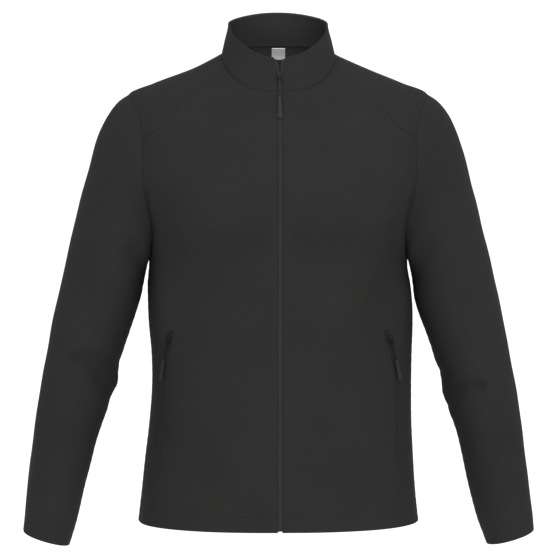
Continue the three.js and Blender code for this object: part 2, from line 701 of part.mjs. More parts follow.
function addGuard() {
  const { left, right, front, back } = GUARD;
  const stations = centreStations(ZIP.end, GUARD.top).map((station) => ({ ...station, spread: 0 }));
  const outline = [[left, front], [right, front], [right, back], [left, back]];
  addStrip('zip_guard', stations, outline, clothFinish());
}

// The neck label follows the inner face of the back, down from the neck seam
function addLabel() {
  const pointAt = (across, share, depth) => {
    const down = LABEL.top + LABEL.drop * share;
    const edge = Math.max(0, down - (LABEL.top + LABEL.drop - LABEL.round));
    const half = LABEL.halfWidth - (LABEL.round - Math.sqrt(Math.max(LABEL.round ** 2 - edge ** 2, 0)));
    const place = placeBehind(LABEL.middle + half * (2 * across - 1), down);
    return bodyPoint(place).addScaledVector(bodyNormal(place), -depth);
  };
  const grid = (depth) => shares(LABEL.rows).map((down) => {
    return shares(LABEL.columns).map((across) => pointAt(across, down, depth));
  });
  addMesh('neck_label', shell(grid(LABEL.back), grid(LABEL.front), false), labelFinish());
}

// A place on the back near its centre line, at a distance below the neckline
function placeBehind(x, down) {
  const z = bodyRing(NECKLINE).back - down;
  const place = placeSeenAt([Math.max(Math.abs(x), 0.01), z], true);
  return { turn: x < 0 ? 2 * Math.PI - place.turn : place.turn, ring: place.ring };
}

// Rigid fittings are made flat: X along the hinge, Y up the zip, Z out of the cloth, and then placed
function solidFrom(geometry) {
  const plain = geometry.clone();
  plain.deleteAttribute('normal');
  plain.deleteAttribute('uv');
  const merged = mergeVertices(plain, 1e-4);
  const vertProperties = new Float32Array(merged.attributes.position.array);
  const triVerts = new Uint32Array(merged.index.array);
  return new wasm.Manifold(new wasm.Mesh({ numProp: 3, vertProperties, triVerts }));
}

function fused(geometries) {
  const whole = geometries.map(solidFrom).reduce((sum, solid) => sum.add(solid));
  const { vertProperties, triVerts } = whole.getMesh();
  const geometry = new THREE.BufferGeometry();
  geometry.setAttribute('position', new THREE.BufferAttribute(vertProperties, 3));
  geometry.setIndex(new THREE.BufferAttribute(triVerts, 1));
  geometry.computeVertexNormals();
  return geometry;
}

function roundedPlate(halfTop, halfFoot, yTop, yFoot, round, depth, edge) {
  const shape = new THREE.Shape();
  shape.moveTo(-halfTop + round, yTop);
  shape.lineTo(halfTop - round, yTop);
  shape.quadraticCurveTo(halfTop, yTop, halfTop, yTop - round);
  shape.lineTo(halfFoot, yFoot + round);
  shape.quadraticCurveTo(halfFoot, yFoot, halfFoot - round, yFoot);
  shape.lineTo(-halfFoot + round, yFoot);
  shape.quadraticCurveTo(-halfFoot, yFoot, -halfFoot, yFoot + round);
  shape.lineTo(-halfTop, yTop - round);
  shape.quadraticCurveTo(-halfTop, yTop, -halfTop + round, yTop);
  const bevel = { bevelThickness: edge, bevelSize: edge, bevelOffset: -edge, bevelSegments: 1 };
  const settings = { depth: depth - 2 * edge, curveSegments: 3, bevelEnabled: true, ...bevel };
  return new THREE.ExtrudeGeometry(shape, settings).translate(0, 0, edge);
}

// How high the hinge pin stands over the zip
const PIN_HEIGHT = CLEARANCE + SLIDER.thickness + EYE.height;

// Turns a shape drawn in [y, z] and extruded along the hinge into the fitting's axes
const alongHinge = new THREE.Matrix4().makeBasis(vector(0, 1, 0), vector(0, 0, 1), vector(1, 0, 0));

// The slider: a rounded block, two cheeks and the pin between them
function sliderGeometry() {
  const { width, foot, length, above, thickness, round, edge } = SLIDER;
  const head = length * above;
  const block = roundedPlate(width / 2, foot / 2, head, head - length, round, thickness, edge);
  block.translate(0, 0, CLEARANCE);
  const inside = EYE.width / 2 + CLEARANCE;
  const base = CLEARANCE + thickness - EYE.sunk;
  const cheek = (from) => {
    const top = PIN_HEIGHT + CHEEK.round;
    const shape = new THREE.Shape();
    shape.moveTo(-CHEEK.below, base);
    shape.lineTo(CHEEK.above, base);
    shape.lineTo(CHEEK.round, PIN_HEIGHT + CHEEK.cap);
    shape.quadraticCurveTo(CHEEK.cap, top, 0, top);
    shape.quadraticCurveTo(-CHEEK.round, top, -CHEEK.round, PIN_HEIGHT);
    const settings = { depth: CHEEK.thick, bevelEnabled: false, curveSegments: 4 };
    return new THREE.ExtrudeGeometry(shape, settings).applyMatrix4(alongHinge).translate(from, 0, 0);
  };
  const pin = new THREE.CylinderGeometry(EYE.pin, EYE.pin, 2 * inside + CHEEK.thick, 10);
  pin.rotateZ(QUARTER).translate(0, 0, PIN_HEIGHT);
  return fused([block, cheek(inside), cheek(-inside - CHEEK.thick), pin]);
}

function pullGeometry() {
  const ring = new THREE.Shape();
  ring.absarc(0, 0, EYE.outer, 0, 2 * Math.PI);
  const hole = new THREE.Path();
  hole.absarc(0, 0, EYE.hole, 0, 2 * Math.PI);
  ring.holes.push(hole);
  const eye = new THREE.ExtrudeGeometry(ring, { depth: EYE.width, bevelEnabled: false, curveSegments: 7 });
  eye.translate(0, 0, -EYE.width / 2).applyMatrix4(alongHinge);
  const stemTop = EYE.outer - EYE.sunk;
  const stem = new THREE.BoxGeometry(PULL.stem, PULL.stemEnd - stemTop, PULL.stemThick);
  stem.translate(0, -(stemTop + PULL.stemEnd) / 2, 0);
  return fused([eye, stem]);
}

function gripGeometry() {
  const { top, foot, thick, round, edge } = GRIP;
  const head = -PULL.stemEnd - CLEARANCE;
  const grip = roundedPlate(top / 2, foot / 2, head, -PULL.length, round, thick, edge);
  return grip.translate(0, 0, -thick / 2);
}

// Places a fitting: its own axes at a point of the zip, and a lean of the pull towards the cloth
function placeFitting(geometry, seat, pinHeight, lean) {
  const turned = geometry.clone();
  if (pinHeight > 0) turned.rotateX(degrees(lean)).translate(0, 0, pinHeight);
  const basis = new THREE.Matrix4().makeBasis(seat.across, seat.up, seat.normal);
  basis.setPosition(seat.point);
  return turned.applyMatrix4(basis);
}

function addFitting(name, seat, lean) {
  addMesh(`${name}_slider`, placeFitting(sliderGeometry(), seat, 0, 0), metalFinish());
  addMesh(`${name}_pull`, placeFitting(pullGeometry(), seat, PIN_HEIGHT, lean), metalFinish());
  addMesh(`${name}_grip`, placeFitting(gripGeometry(), seat, PIN_HEIGHT, lean), trimFinish());
}

// The front slider sits on the closed zip, on the collar
function addFrontFitting() {
  const point = collarPoint({ turn: 0, ring: FRONT_SLIDER_SHARE });
  const normal = centreNormal(collarNormal, FRONT_SLIDER_SHARE);
  const across = vector(1, 0, 0);
  const up = normal.clone().cross(across);
  addFitting('front', { point, normal, across, up }, FRONT_PULL_LEAN);
}

// Stations down a pocket line, with the direction across the line in the cloth
function pocketStations(sign) {
  const line = POCKET_LINE.map(([x, z]) => [x - sign * POCKET_SHIFT, z]);
  const places = spaced(seen(line), POCKET_ZIP.steps);
  const turned = places.map((place) => ({ turn: place.turn * sign, ring: place.ring }));
  const points = turned.map((place) => bodyPoint(place));
  return points.map((point, i) => {
    const before = points[Math.max(i - 1, 0)];
    const after = points[Math.min(i + 1, points.length - 1)];
    const normal = bodyNormal(turned[i]);
    const along = after.clone().sub(before);
    const up = along.addScaledVector(normal, -along.dot(normal)).normalize().negate();
    return { point, normal, up, across: up.clone().cross(normal).normalize() };
  });
}

function addPocket(side, sign) {
  const { halfWidth, chamfer, thickness } = POCKET_ZIP;
  const stations = pocketStations(sign);
  const low = -CLEARANCE;
  const high = -CLEARANCE - thickness;
  const narrow = halfWidth - chamfer;
  const outline = [[-halfWidth, low], [halfWidth, low], [narrow, high], [-narrow, high]];
  addStrip(`pocket_zip_${side}`, stations, outline, trimFinish());
  const near = stations[POCKET_SLIDER.step];
  const chord = stations[0].point.clone().sub(stations[POCKET_SLIDER.towards].point);
  const up = chord.addScaledVector(near.normal, -chord.dot(near.normal)).normalize();
  const across = up.clone().cross(near.normal).normalize();
  const raised = near.point.clone().addScaledVector(near.normal, thickness + CLEARANCE);
  addFitting(`pocket_${side}`, { ...near, up, across, point: raised }, POCKET_PULL_LEAN);
}

for (const [side, sign] of Object.entries(sides)) addSleeve(side, sign);
addCollar();
for (const [side, sign] of Object.entries(sides)) {
  addFront(side, sign);
  addYoke(side, sign);
  addZipHalf(side, sign);
  addPocket(side, sign);
}
addBack();
addGuard();
addLabel();
addFrontFitting();

export default jacket;
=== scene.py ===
import math

import bpy
import numpy as np
from mathutils import Matrix, Vector
from mathutils.kdtree import KDTree


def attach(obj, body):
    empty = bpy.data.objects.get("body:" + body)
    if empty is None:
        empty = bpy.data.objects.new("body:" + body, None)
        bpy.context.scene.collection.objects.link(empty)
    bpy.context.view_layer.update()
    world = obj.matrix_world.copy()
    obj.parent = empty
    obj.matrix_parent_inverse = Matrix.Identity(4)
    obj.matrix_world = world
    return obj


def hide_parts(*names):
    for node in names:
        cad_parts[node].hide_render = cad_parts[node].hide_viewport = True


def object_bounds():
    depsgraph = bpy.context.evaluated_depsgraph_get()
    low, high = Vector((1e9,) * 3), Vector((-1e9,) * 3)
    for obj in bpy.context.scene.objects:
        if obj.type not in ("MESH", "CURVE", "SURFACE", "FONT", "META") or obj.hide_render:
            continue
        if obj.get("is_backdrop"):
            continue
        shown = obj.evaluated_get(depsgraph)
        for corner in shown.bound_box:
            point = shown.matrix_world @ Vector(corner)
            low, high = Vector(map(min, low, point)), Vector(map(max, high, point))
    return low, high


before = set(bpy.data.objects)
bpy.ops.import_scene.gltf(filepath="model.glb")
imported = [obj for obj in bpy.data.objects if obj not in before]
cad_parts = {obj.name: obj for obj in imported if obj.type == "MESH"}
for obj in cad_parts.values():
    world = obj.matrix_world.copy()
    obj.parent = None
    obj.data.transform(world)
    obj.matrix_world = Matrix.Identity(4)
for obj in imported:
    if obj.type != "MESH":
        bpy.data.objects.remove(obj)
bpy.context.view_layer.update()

# The jacket's forms are worked out in millimetres, and each mesh is made in metres.
MM = 0.001
CLOTH, COLLAR_CLOTH = 2.0, 2.4
# Each panel ends a little before its seam line, and each front edge beside the centre line.
SEAM_GAP = 0.015
FRONT_EDGE = 3.15
# Above the slider the front edges spread apart, from a height to another.
OPEN_SPREAD, OPEN_FROM, OPEN_TO = 5.0, -24, -1
# Rings of the body form are named by their height at the front.
HEM, UNDERARM, NECKLINE = -687, -300, -49
QUARTER = math.pi / 2
SIDES = {"right": 1, "left": -1}
# A distance that is far from anything, for edges that a panel doesn't have
FAR = 1e3

# Rings of the body: heights at front, side and back, half width, depths, power of the curve, power of the dip
BODY_RINGS = np.array([
    [-687, -685.5, -687, 206.5, 130.0, 125.0, 2.4, 2.0],
    [-640, -640, -640, 201.5, 128.0, 121.0, 2.4, 2.0],
    [-590, -590, -590, 197.2, 126.0, 116.0, 2.4, 2.0],
    [-540, -540, -540, 193.0, 124.0, 110.0, 2.4, 2.0],
    [-490, -490, -490, 190.8, 122.0, 105.0, 2.4, 2.0],
    [-440, -440, -440, 191.2, 122.0, 104.0, 2.4, 2.0],
    [-390, -390, -390, 193.8, 125.0, 108.0, 2.4, 2.0],
    [-340, -340, -340, 193.2, 130.0, 114.0, 2.4, 2.0],
    [-300, -296, -298, 190.0, 134.0, 118.5, 2.4, 2.0],
    [-275, -263, -268, 203.0, 136.0, 121.0, 2.4, 2.0],
    [-240, -212, -226, 225.0, 137.5, 122.5, 2.4, 2.0],
    [-200, -150, -176, 236.0, 136.0, 121.0, 2.4, 2.0],
    [-165, -98, -129, 233.0, 132.5, 117.0, 2.4, 2.0],
    [-135, -58, -88, 219.0, 128.0, 110.0, 2.4, 2.0],
    [-108, -41.5, -57, 182.0, 121.5, 103.0, 2.4, 2.0],
    [-82, -26.2, -29, 142.0, 112.5, 94.0, 2.45, 1.8],
    [-62, -11, -4, 107.0, 104.0, 82.0, 2.5, 1.6],
    [-49, -1, 10.6, 83.0, 98.0, 70.0, 2.6, 1.5],
])
COLLAR_RINGS = np.array([
    [0.0, -49, -1, 10.6, 83.0, 98.0, 70.0, 2.6, 1.5, 0],
    [0.35, -32, 17, 28.0, 79.0, 91.0, 65.5, 2.5, 1.8, 0.15],
    [0.7, -15, 33.5, 46.0, 74.8, 84.5, 61.5, 2.35, 2.1, 0.4],
    [1.0, -1, 46.5, 60.5, 72.2, 79.0, 58.5, 2.2, 1.9, 0.6],
])
LEAN_BEHIND = 0.35
SWAY_HEIGHT, SWAY_REACH, SWAY_SHIFT, SWAY_TOP, SWAY_FADE = -462, 112, 5.4, -302, 50

# Where the arms meet the body the cloth is drawn in: place, reach and depth at the front and at the back
ARMPIT_X, ARMPIT_WIDTH, ARMPIT_Z, ARMPIT_HEIGHT, ARMPIT_RIM = 190, 15, -243, 36, 50
ARMPIT_FRONT, ARMPIT_BACK = 5.5, 7.0
# The dressed cloth goes deeper right beside the seam: from a height to another, depth and reach from the seam
TUCK_LOW, TUCK_HIGH, TUCK_END, TUCK_DEPTH, TUCK_BODY, TUCK_SLEEVE = -300, -200, 30, 11.0, 6.0, 27.0

# Seam lines of the right half, seen from the front or from behind: distance from the centre line and height
FRONT_JUNCTION = [198, -118]
BACK_JUNCTION = [200, -112]
FRONT_ARMHOLE = [[186.8, -290], [184.8, -268], [186, -242], [191, -220], [196, -195], [198, -170],
                 [198, -147]]
BACK_ARMHOLE = [[188, -290], [188, -262], [192, -235], [198, -205], [200, -175], [200, -147]]
FRONT_SHOULDER = [[200.5, -98], [205.5, -80], [212, -66]]
BACK_SHOULDER = [[202, -94], [206.5, -78], [212.5, -65]]
SHOULDER_POINT = [QUARTER, -135]
FRONT_YOKE_SEAM = [[84, -22], [97, -33], [117, -46], [136, -61], [152, -79], [170, -98], [184, -109]]
BACK_YOKE_SEAM = [[97, -18], [117, -31], [136, -46], [152, -63], [170, -83], [184, -99]]
NECK_SEAM_FRONT = 78
NECK_SEAM_BACK = 72
# Steps of a panel's outer side: up the side seam, up the armhole and along the yoke seam
SIDE_STEPS = (13, 6, 7)
ROWS_PER_STEP = 6

# Sleeve sections: down the arm, outer edge x and z, inner edge x and z, half the depth, middle in depth
SLEEVE_SECTIONS = np.array([
    [0, 219, -58, 190.0, -296, 85.0, 0],
    [12, 236, -70, 190.6, -300, 83.5, 0],
    [25, 250, -88, 191.4, -304.5, 82.0, 0],
    [40, 260.5, -110, 192.6, -310, 81.0, 0],
    [55, 268, -132, 194.0, -316, 80.0, 0],
    [70, 274, -153, 195.6, -323, 79.0, 0],
    [95, 283, -187, 198.2, -339, 77.5, 0],
    [120, 291, -215, 201.5, -359, 76.0, 1],
    [151, 300, -250, 209.5, -385, 74.0, 2],
    [191, 312, -297, 220.5, -414, 71.0, 3],
    [231, 322, -345, 231.5, -444, 67.5, 3],
    [275, 333, -397, 239.5, -476, 64.0, 1],
    [315, 342, -443, 246.5, -508, 61.0, -3],
    [355, 351, -492, 258.0, -538, 58.0, -8],
    [397, 358, -540, 269.0, -571, 55.5, -13],
    [452, 365.5, -600, 281.0, -620, 53.0, -19],
    [506, 371.0, -654, 293.0, -672, 50.0, -25],
    [552, 376.0, -697, 307.0, -717.5, 47.0, -29],
])
# Length of the sleeve, how far down it follows the armhole, power of its sections, radius of its head
SLEEVE_LENGTH, SLEEVE_HEAD, SLEEVE_SQUARE = 552, 75, 2.1
HEAD_RADIUS = 85

# Sleeve folds: from a place (down, degrees round) to another, depth inwards and width
SLEEVE_FOLDS = {
    "left": [
        [294, 65, 281, 92, 5.0, 6.5],
        [281, 92, 288, 152, 5.5, 15],
        [262, 66, 240, 125, -2.0, 14],
        [236, 190, 258, 130, 2.0, 12],
        [280, 205, 284, 165, -2.2, 14],
        [320, 205, 302, 140, 1.5, 12],
        [105, 180, 190, 180, 2.8, 22],
        [262, 180, 300, 180, -2.2, 14],
        [420, 180, 540, 180, 1.5, 24],
        [400, 0, 560, 0, 1.3, 26],
        [250, 215, 310, 300, 4.0, 15],
        [400, 30, 380, 125, 2.5, 20],
        [45, 130, 100, 105, 3.0, 14],
        [60, 165, 135, 120, 3.0, 16],
    ],
    "right": [
        [326, 84, 311, 104, 5.0, 6.5],
        [311, 102, 300, 152, 5.5, 12],
        [292, 96, 304, 60, -2.2, 14],
        [255, 190, 275, 135, 2.0, 12],
        [298, 205, 303, 165, -2.0, 14],
        [338, 205, 320, 140, 1.5, 12],
        [212, 180, 262, 180, -2.6, 20],
        [325, 180, 352, 180, -2.8, 16],
        [370, 180, 545, 180, -2.8, 26],
        [265, 220, 325, 300, 4.0, 15],
        [420, 25, 392, 130, 2.5, 20],
        [45, 130, 105, 103, 3.0, 14],
        [70, 168, 145, 115, 3.0, 16],
    ],
}
# Softer waves of the sleeve cloth that only the dressed sleeve has
SLEEVE_WAVES = {
    "left": [
        [150, 60, 250, 110, 1.2, 20],
        [286, 60, 262, 84, -1.3, 6],
        [256, 84, 240, 112, -1.2, 8],
        [268, 88, 262, 150, 2.6, 14],
        [297, 63, 286, 80, 1.5, 3.5],
        [360, 70, 440, 120, 1.3, 16],
        [470, 40, 500, 140, 1.0, 14],
        [120, 230, 210, 280, 1.6, 20],
        [370, 240, 430, 310, 1.4, 16],
        [460, 220, 490, 330, -1.0, 18],
        [45, 130, 100, 105, -1.0, 14],
        [60, 165, 135, 120, -2.6, 16],
    ],
    "right": [
        [160, 65, 245, 115, 1.2, 20],
        [300, 112, 318, 78, -1.2, 6],
        [327, 82, 316, 98, 1.5, 3.5],
        [342, 92, 326, 128, -1.0, 9],
        [375, 60, 450, 125, 1.3, 16],
        [480, 45, 505, 135, 1.0, 14],
        [130, 235, 205, 285, 1.6, 20],
        [385, 235, 440, 315, 1.4, 16],
        [470, 225, 495, 325, -1.0, 18],
        [45, 130, 105, 103, -1.0, 14],
        [70, 168, 145, 115, -2.6, 16],
    ],
}

# Waves of the body cloth: from a point (x, z) to another, depth inwards and width
FRONT_WAVES = [
    [-176, -250, -128, -420, 1.6, 30],
    [176, -250, 134, -410, 3.4, 28],
    [-176, -205, -160, -262, 0.9, 13],
    [178, -205, 163, -258, 1.0, 13],
    [-150, -268, 150, -268, 2.4, 34],
    [-100, -185, 100, -185, -1.6, 42],
    [-150, -470, -90, -640, 1.3, 34],
    [120, -330, 60, -520, 1.2, 38],
    [150, -500, 110, -650, 1.4, 30],
    [-60, -520, -40, -670, -1.0, 30],
    [-100, -300, -60, -420, 1.0, 40],
    [-172, -275, -175, -440, -2.6, 15],
    [172, -275, 176, -440, -1.6, 15],
]
BACK_WAVES = [
    [-172, -245, -90, -420, 2.6, 24],
    [172, -245, 92, -425, 2.4, 24],
    [-150, -225, -120, -330, 2.0, 18],
    [150, -228, 122, -325, 2.0, 18],
    [-140, -455, 135, -462, 2.2, 20],
    [-110, -500, 120, -492, -1.4, 18],
    [-60, -120, 0, -190, 1.2, 30],
    [60, -120, 5, -185, 1.2, 30],
    [-120, -540, -80, -660, 1.6, 26],
    [110, -540, 70, -665, 1.5, 26],
]

# Pocket line of both fronts, seen from the front: distance from the centre line and height. The
# shift moves the right one in and the left one out. The slider is at step 1 and points at HANG_STEP.
POCKET_LINE = [[155.5, -398], [162.2, -420], [167.5, -453], [170.5, -487], [173.5, -540], [175.2, -591]]
POCKET_SHIFT, POCKET_STEPS, HANG_STEP = 2.8, 12, 4
# Guard behind the zip: left and right edge, front and back depth, and its top as a share of the collar
GUARD = (-14, 9, 4.2, 5.4, 0.86)
# Where the zip starts above the hem, and its top and its slider as shares of the collar
ZIP_END, ZIP_TOP, SLIDER_SHARE = 2.0, 0.96, 0.38
# Height of a pull's pin over the cloth, of a pocket slider over it, and the pulls' lean in degrees
PIN_HEIGHT, POCKET_LIFT = 4.9, 1.5
FRONT_LEAN, POCKET_LEAN = 1.6, 1.5
# Stitch lines: distances from the hem or cuff, the zip edge, the collar's rim and the pocket zip
HEM_STITCHES, ZIP_STITCH, RIM_STITCH, POCKET_STITCH = (22.5, 28.2), 2.7, 6.2, 6.2


def smooth(value):
    value = np.clip(value, 0, 1)
    return value * value * (3 - 2 * value)


def row_at(rows, key):
    """A smooth curve through the rows of a table, read at values of its first column."""
    rows = np.asarray(rows, float)
    key = np.asarray(key, float)
    i = np.clip(np.searchsorted(rows[:, 0], key, side="left") - 1, 0, len(rows) - 2)
    before, start = rows[np.maximum(i - 1, 0)], rows[i]
    end, after = rows[i + 1], rows[np.minimum(i + 2, len(rows) - 1)]
    span = (end - start)[..., :1]
    t = (key[..., None] - start[..., :1]) / span
    slope_start = (end - before) / (end - before)[..., :1]
    slope_end = (after - start) / (after - start)[..., :1]
    rise = end - start
    curve = (slope_start * span - rise) * (1 - t) + (rise - slope_end * span) * t
    return start + rise * t + t * (1 - t) * curve


def ring_point(ring, turn):
    front, side, back, half, front_depth, back_depth, square, dip = np.moveaxis(ring, -1, 0)[:8]
    lean = ring[..., 8] if ring.shape[-1] > 8 else 0.0
    across = np.abs(np.sin(turn)) ** (2 / square)
    reach = np.abs(np.cos(turn)) ** (2 / square)
    ahead = np.cos(turn) > 0
    y = np.where(ahead, -front_depth, back_depth) * reach
    rise = np.where(ahead, y, LEAN_BEHIND * y)
    z = side + (np.where(ahead, front, back) - side) * reach ** dip + lean * rise * (1 - reach) ** 2
    sway = SWAY_SHIFT * across ** 2 * np.exp(-(((z - SWAY_HEIGHT) / SWAY_REACH) ** 2))
    sway = sway * smooth((SWAY_TOP - z) / SWAY_FADE)
    x = np.sign(np.sin(turn)) * half * across + sway
    return np.stack([x, y, z], -1)


def armpit_valley(points):
    """Takes the cloth in where the arm meets the chest and the back."""
    x, y, z = np.moveaxis(points, -1, 0)
    deep = np.where(y < 0, ARMPIT_FRONT, -ARMPIT_BACK)
    across = np.exp(-(((np.abs(x) - ARMPIT_X) / ARMPIT_WIDTH) ** 2))
    up = np.exp(-(((z - ARMPIT_Z) / ARMPIT_HEIGHT) ** 2))
    moved = points.copy()
    moved[..., 1] += deep * across * up * smooth(np.abs(y) / ARMPIT_RIM)
    return moved


def body_form(turn, ring):
    return armpit_valley(ring_point(row_at(BODY_RINGS, ring), np.asarray(turn, float)))


def collar_form(turn, share):
    return ring_point(row_at(COLLAR_RINGS, share)[..., 1:], np.asarray(turn, float))


def unit(vectors):
    return vectors / np.maximum(np.linalg.norm(vectors, axis=-1, keepdims=True), 1e-12)


def outward(form, turn, ring, turn_step, ring_step):
    centre = form(turn, ring)
    sideways = form(turn + turn_step, ring) - centre
    upwards = form(turn, ring + ring_step) - centre
    return unit(np.cross(sideways, upwards))


def body_normal(turn, ring):
    return outward(body_form, np.asarray(turn, float), np.asarray(ring, float), 0.002, 0.1)


def collar_normal(turn, share):
    return outward(collar_form, np.asarray(turn, float), np.asarray(share, float), 0.002, 0.002)


def turn_at_width(ring, x, behind):
    turn = np.arcsin(np.minimum(1, x / ring[..., 3]) ** (ring[..., 6] / 2))
    return np.pi - turn if behind else turn


def seen(points, behind=False):
    """Places (turn, ring) on the body form that are seen at x and z."""
    x, z = np.asarray(points, float).T
    low, high = np.full(len(x), float(HEM)), np.full(len(x), float(NECKLINE))
    for _ in range(40):
        middle = (low + high) / 2
        ring = row_at(BODY_RINGS, middle)
        below = ring_point(ring, turn_at_width(ring, x, behind))[:, 2] < z
        low, high = np.where(below, middle, low), np.where(below, high, middle)
    return np.stack([turn_at_width(row_at(BODY_RINGS, low), x, behind), low], -1)


def lengths_along(points):
    steps = np.linalg.norm(np.diff(points, axis=0), axis=-1)
    return np.concatenate([[0], np.cumsum(steps)])


def spaced(places, shares):
    """Places at shares of the length of a line on the body form."""
    along = lengths_along(body_form(places[:, 0], places[:, 1]))
    return row_at(np.column_stack([along, places]), along[-1] * np.asarray(shares))[:, 1:]


def neck_place(x, behind):
    return [float(turn_at_width(row_at(BODY_RINGS, NECKLINE), x, behind)), NECKLINE]


def level(ring, start, end):
    return np.column_stack([np.linspace(start, end, 5), np.full(5, float(ring))])


def mirrored(places):
    return np.column_stack([2 * np.pi - places[:, 0], places[:, 1]])


front_junction = seen([FRONT_JUNCTION])
back_junction = seen([BACK_JUNCTION], True)
neck_front_end = neck_place(NECK_SEAM_FRONT, False)
neck_back_end = neck_place(NECK_SEAM_BACK, True)
SEAMS = {
    "side": np.column_stack([np.full(9, QUARTER), np.linspace(HEM, UNDERARM, 9)]),
    "front_armhole": np.vstack([[[QUARTER, UNDERARM]], seen(FRONT_ARMHOLE), front_junction]),
    "back_armhole": np.vstack([[[QUARTER, UNDERARM]], seen(BACK_ARMHOLE, True), back_junction]),
    "front_shoulder": np.vstack([front_junction, seen(FRONT_SHOULDER), [SHOULDER_POINT]]),
    "back_shoulder": np.vstack([back_junction, seen(BACK_SHOULDER, True), [SHOULDER_POINT]]),
    "front_yoke": np.vstack([[neck_front_end], seen(FRONT_YOKE_SEAM), front_junction]),
    "back_yoke": np.vstack([[neck_back_end], seen(BACK_YOKE_SEAM, True), back_junction]),
    "neck_front": level(NECKLINE, neck_place(FRONT_EDGE, False)[0], neck_front_end[0]),
    "neck_shoulder": level(NECKLINE, neck_front_end[0], neck_back_end[0]),
    "neck_back": level(NECKLINE, neck_back_end[0], 2 * np.pi - neck_back_end[0]),
}


def shares(count, close_start=0.0, close_end=0.0):
    """Even shares from 0 to 1, with two more rows close to an end that is rounded."""
    even = list(np.linspace(0, 1, count + 1))
    start = [close_start, 2.5 * close_start] if close_start else []
    end = [1 - 2.5 * close_end, 1 - close_end] if close_end else []
    return np.array([0.0] + start + even[1:-1] + end + [1.0])


def joined(*lines):
    return np.vstack([lines[0]] + [line[1:] for line in lines[1:]])


# The armhole ring, from the shoulder point forwards, and how far round it each of its points is
fine_ring = joined(
    spaced(SEAMS["front_shoulder"], shares(32))[::-1],
    spaced(SEAMS["front_armhole"], shares(48))[::-1],
    spaced(SEAMS["back_armhole"], shares(48)),
    spaced(SEAMS["back_shoulder"], shares(32)),
)
fine_points = body_form(fine_ring[:, 0], fine_ring[:, 1])
fine_around = 2 * np.pi * lengths_along(fine_points) / lengths_along(fine_points)[-1]


def section_point(section, around):
    _, outer_x, outer_z, inner_x, inner_z, half_depth, middle = np.moveaxis(section, -1, 0)
    cosine, sine = np.cos(around), np.sin(around)
    out = np.sign(cosine) * np.abs(cosine) ** (2 / SLEEVE_SQUARE)
    ahead = np.sign(sine) * np.abs(sine) ** (2 / SLEEVE_SQUARE)
    x = (outer_x + inner_x + (outer_x - inner_x) * out) / 2
    z = (outer_z + inner_z + (outer_z - inner_z) * out) / 2
    return np.stack([x, middle - half_depth * ahead, z], -1)


# How far the first section of the sleeve misses the armhole ring, with one row more at both ends
head_section = row_at(SLEEVE_SECTIONS, np.zeros(len(fine_around)))
head_rows = np.column_stack([fine_around, fine_points - section_point(head_section, fine_around)])
head_rows = np.vstack([
    head_rows[-2] - [2 * np.pi, 0, 0, 0],
    head_rows,
    head_rows[1] + [2 * np.pi, 0, 0, 0],
])


def sleeve_form(around, down):
    hold = smooth(1 - down / SLEEVE_HEAD)[..., None]
    return section_point(row_at(SLEEVE_SECTIONS, down), around) + row_at(head_rows, around)[..., 1:] * hold


def sleeve_normal(around, down):
    return outward(sleeve_form, np.asarray(around, float), np.asarray(down, float), 0.004, 0.1)


def trough(ahead, aside, run, rise, deep, width):
    """Depth of a soft trough, at places ahead and aside of its start. Its end is run and rise away."""
    t = np.clip((ahead * run + aside * rise) / (run ** 2 + rise ** 2), 0, 1)
    distance = np.hypot(ahead - t * run, aside - t * rise)
    return deep * (0.35 + 0.65 * np.sin(np.pi * t)) * np.exp(-((distance / width) ** 2))


def line_depth(along, across, rows):
    """Depth of the troughs of a table, on coordinates in millimetres."""
    depth = np.zeros(np.shape(along))
    for along1, across1, along2, across2, deep, width in rows:
        run, rise = along2 - along1, across2 - across1
        depth += trough(along - along1, across - across1, run, rise, deep, width)
    return depth


def sleeve_depth(around, down, rows):
    """Depth of the troughs of a table on the sleeve, where degrees are as wide as the section is."""
    section = row_at(SLEEVE_SECTIONS, down)
    width = np.hypot(section[..., 1] - section[..., 3], section[..., 2] - section[..., 4])
    radius = (section[..., 5] + width / 2) / 2
    depth = np.zeros(np.shape(down))
    for down1, around1, down2, around2, deep, wide in rows:
        run, rise = down2 - down1, np.radians(around2 - around1) * radius
        depth += trough(down - down1, (around - np.radians(around1)) * radius, run, rise, deep, wide)
    return depth


# Slight waves of the cloth, the same for panels that meet
chance = np.random.default_rng(7)
WAVE_WAYS = unit(chance.normal(size=(9, 3)))
WAVE_LENGTHS = chance.uniform(46, 150, 9)
WAVE_STARTS = chance.uniform(0, 2 * np.pi, 9)


def small_waves(points):
    phases = points @ (WAVE_WAYS / WAVE_LENGTHS[:, None]).T * 2 * np.pi + WAVE_STARTS
    return (np.sin(phases) * WAVE_LENGTHS / 150).sum(-1) * 0.42


def tree_of(points):
    tree = KDTree(len(points))
    for index, point in enumerate(points):
        tree.insert(point, index)
    tree.balance()
    return tree


class SeamLine:
    """A line on the cloth, one point a millimetre, to measure how far others are from it and where."""

    def __init__(self, points):
        along = lengths_along(points)
        self.along = np.linspace(0, along[-1], max(2, int(along[-1])))
        self.tree = tree_of(np.column_stack([np.interp(self.along, along, points[:, k]) for k in range(3)]))

    def near(self, points):
        found = [self.tree.find(point) for point in points.reshape(-1, 3)]
        away = np.array([distance for _, _, distance in found]).reshape(points.shape[:-1])
        along = self.along[[index for _, index, _ in found]].reshape(points.shape[:-1])
        return away, along


def seam_line(name, sign=1):
    places = spaced(SEAMS[name], np.linspace(0, 1, 120))
    return SeamLine(body_form(places[:, 0] * sign, places[:, 1]))


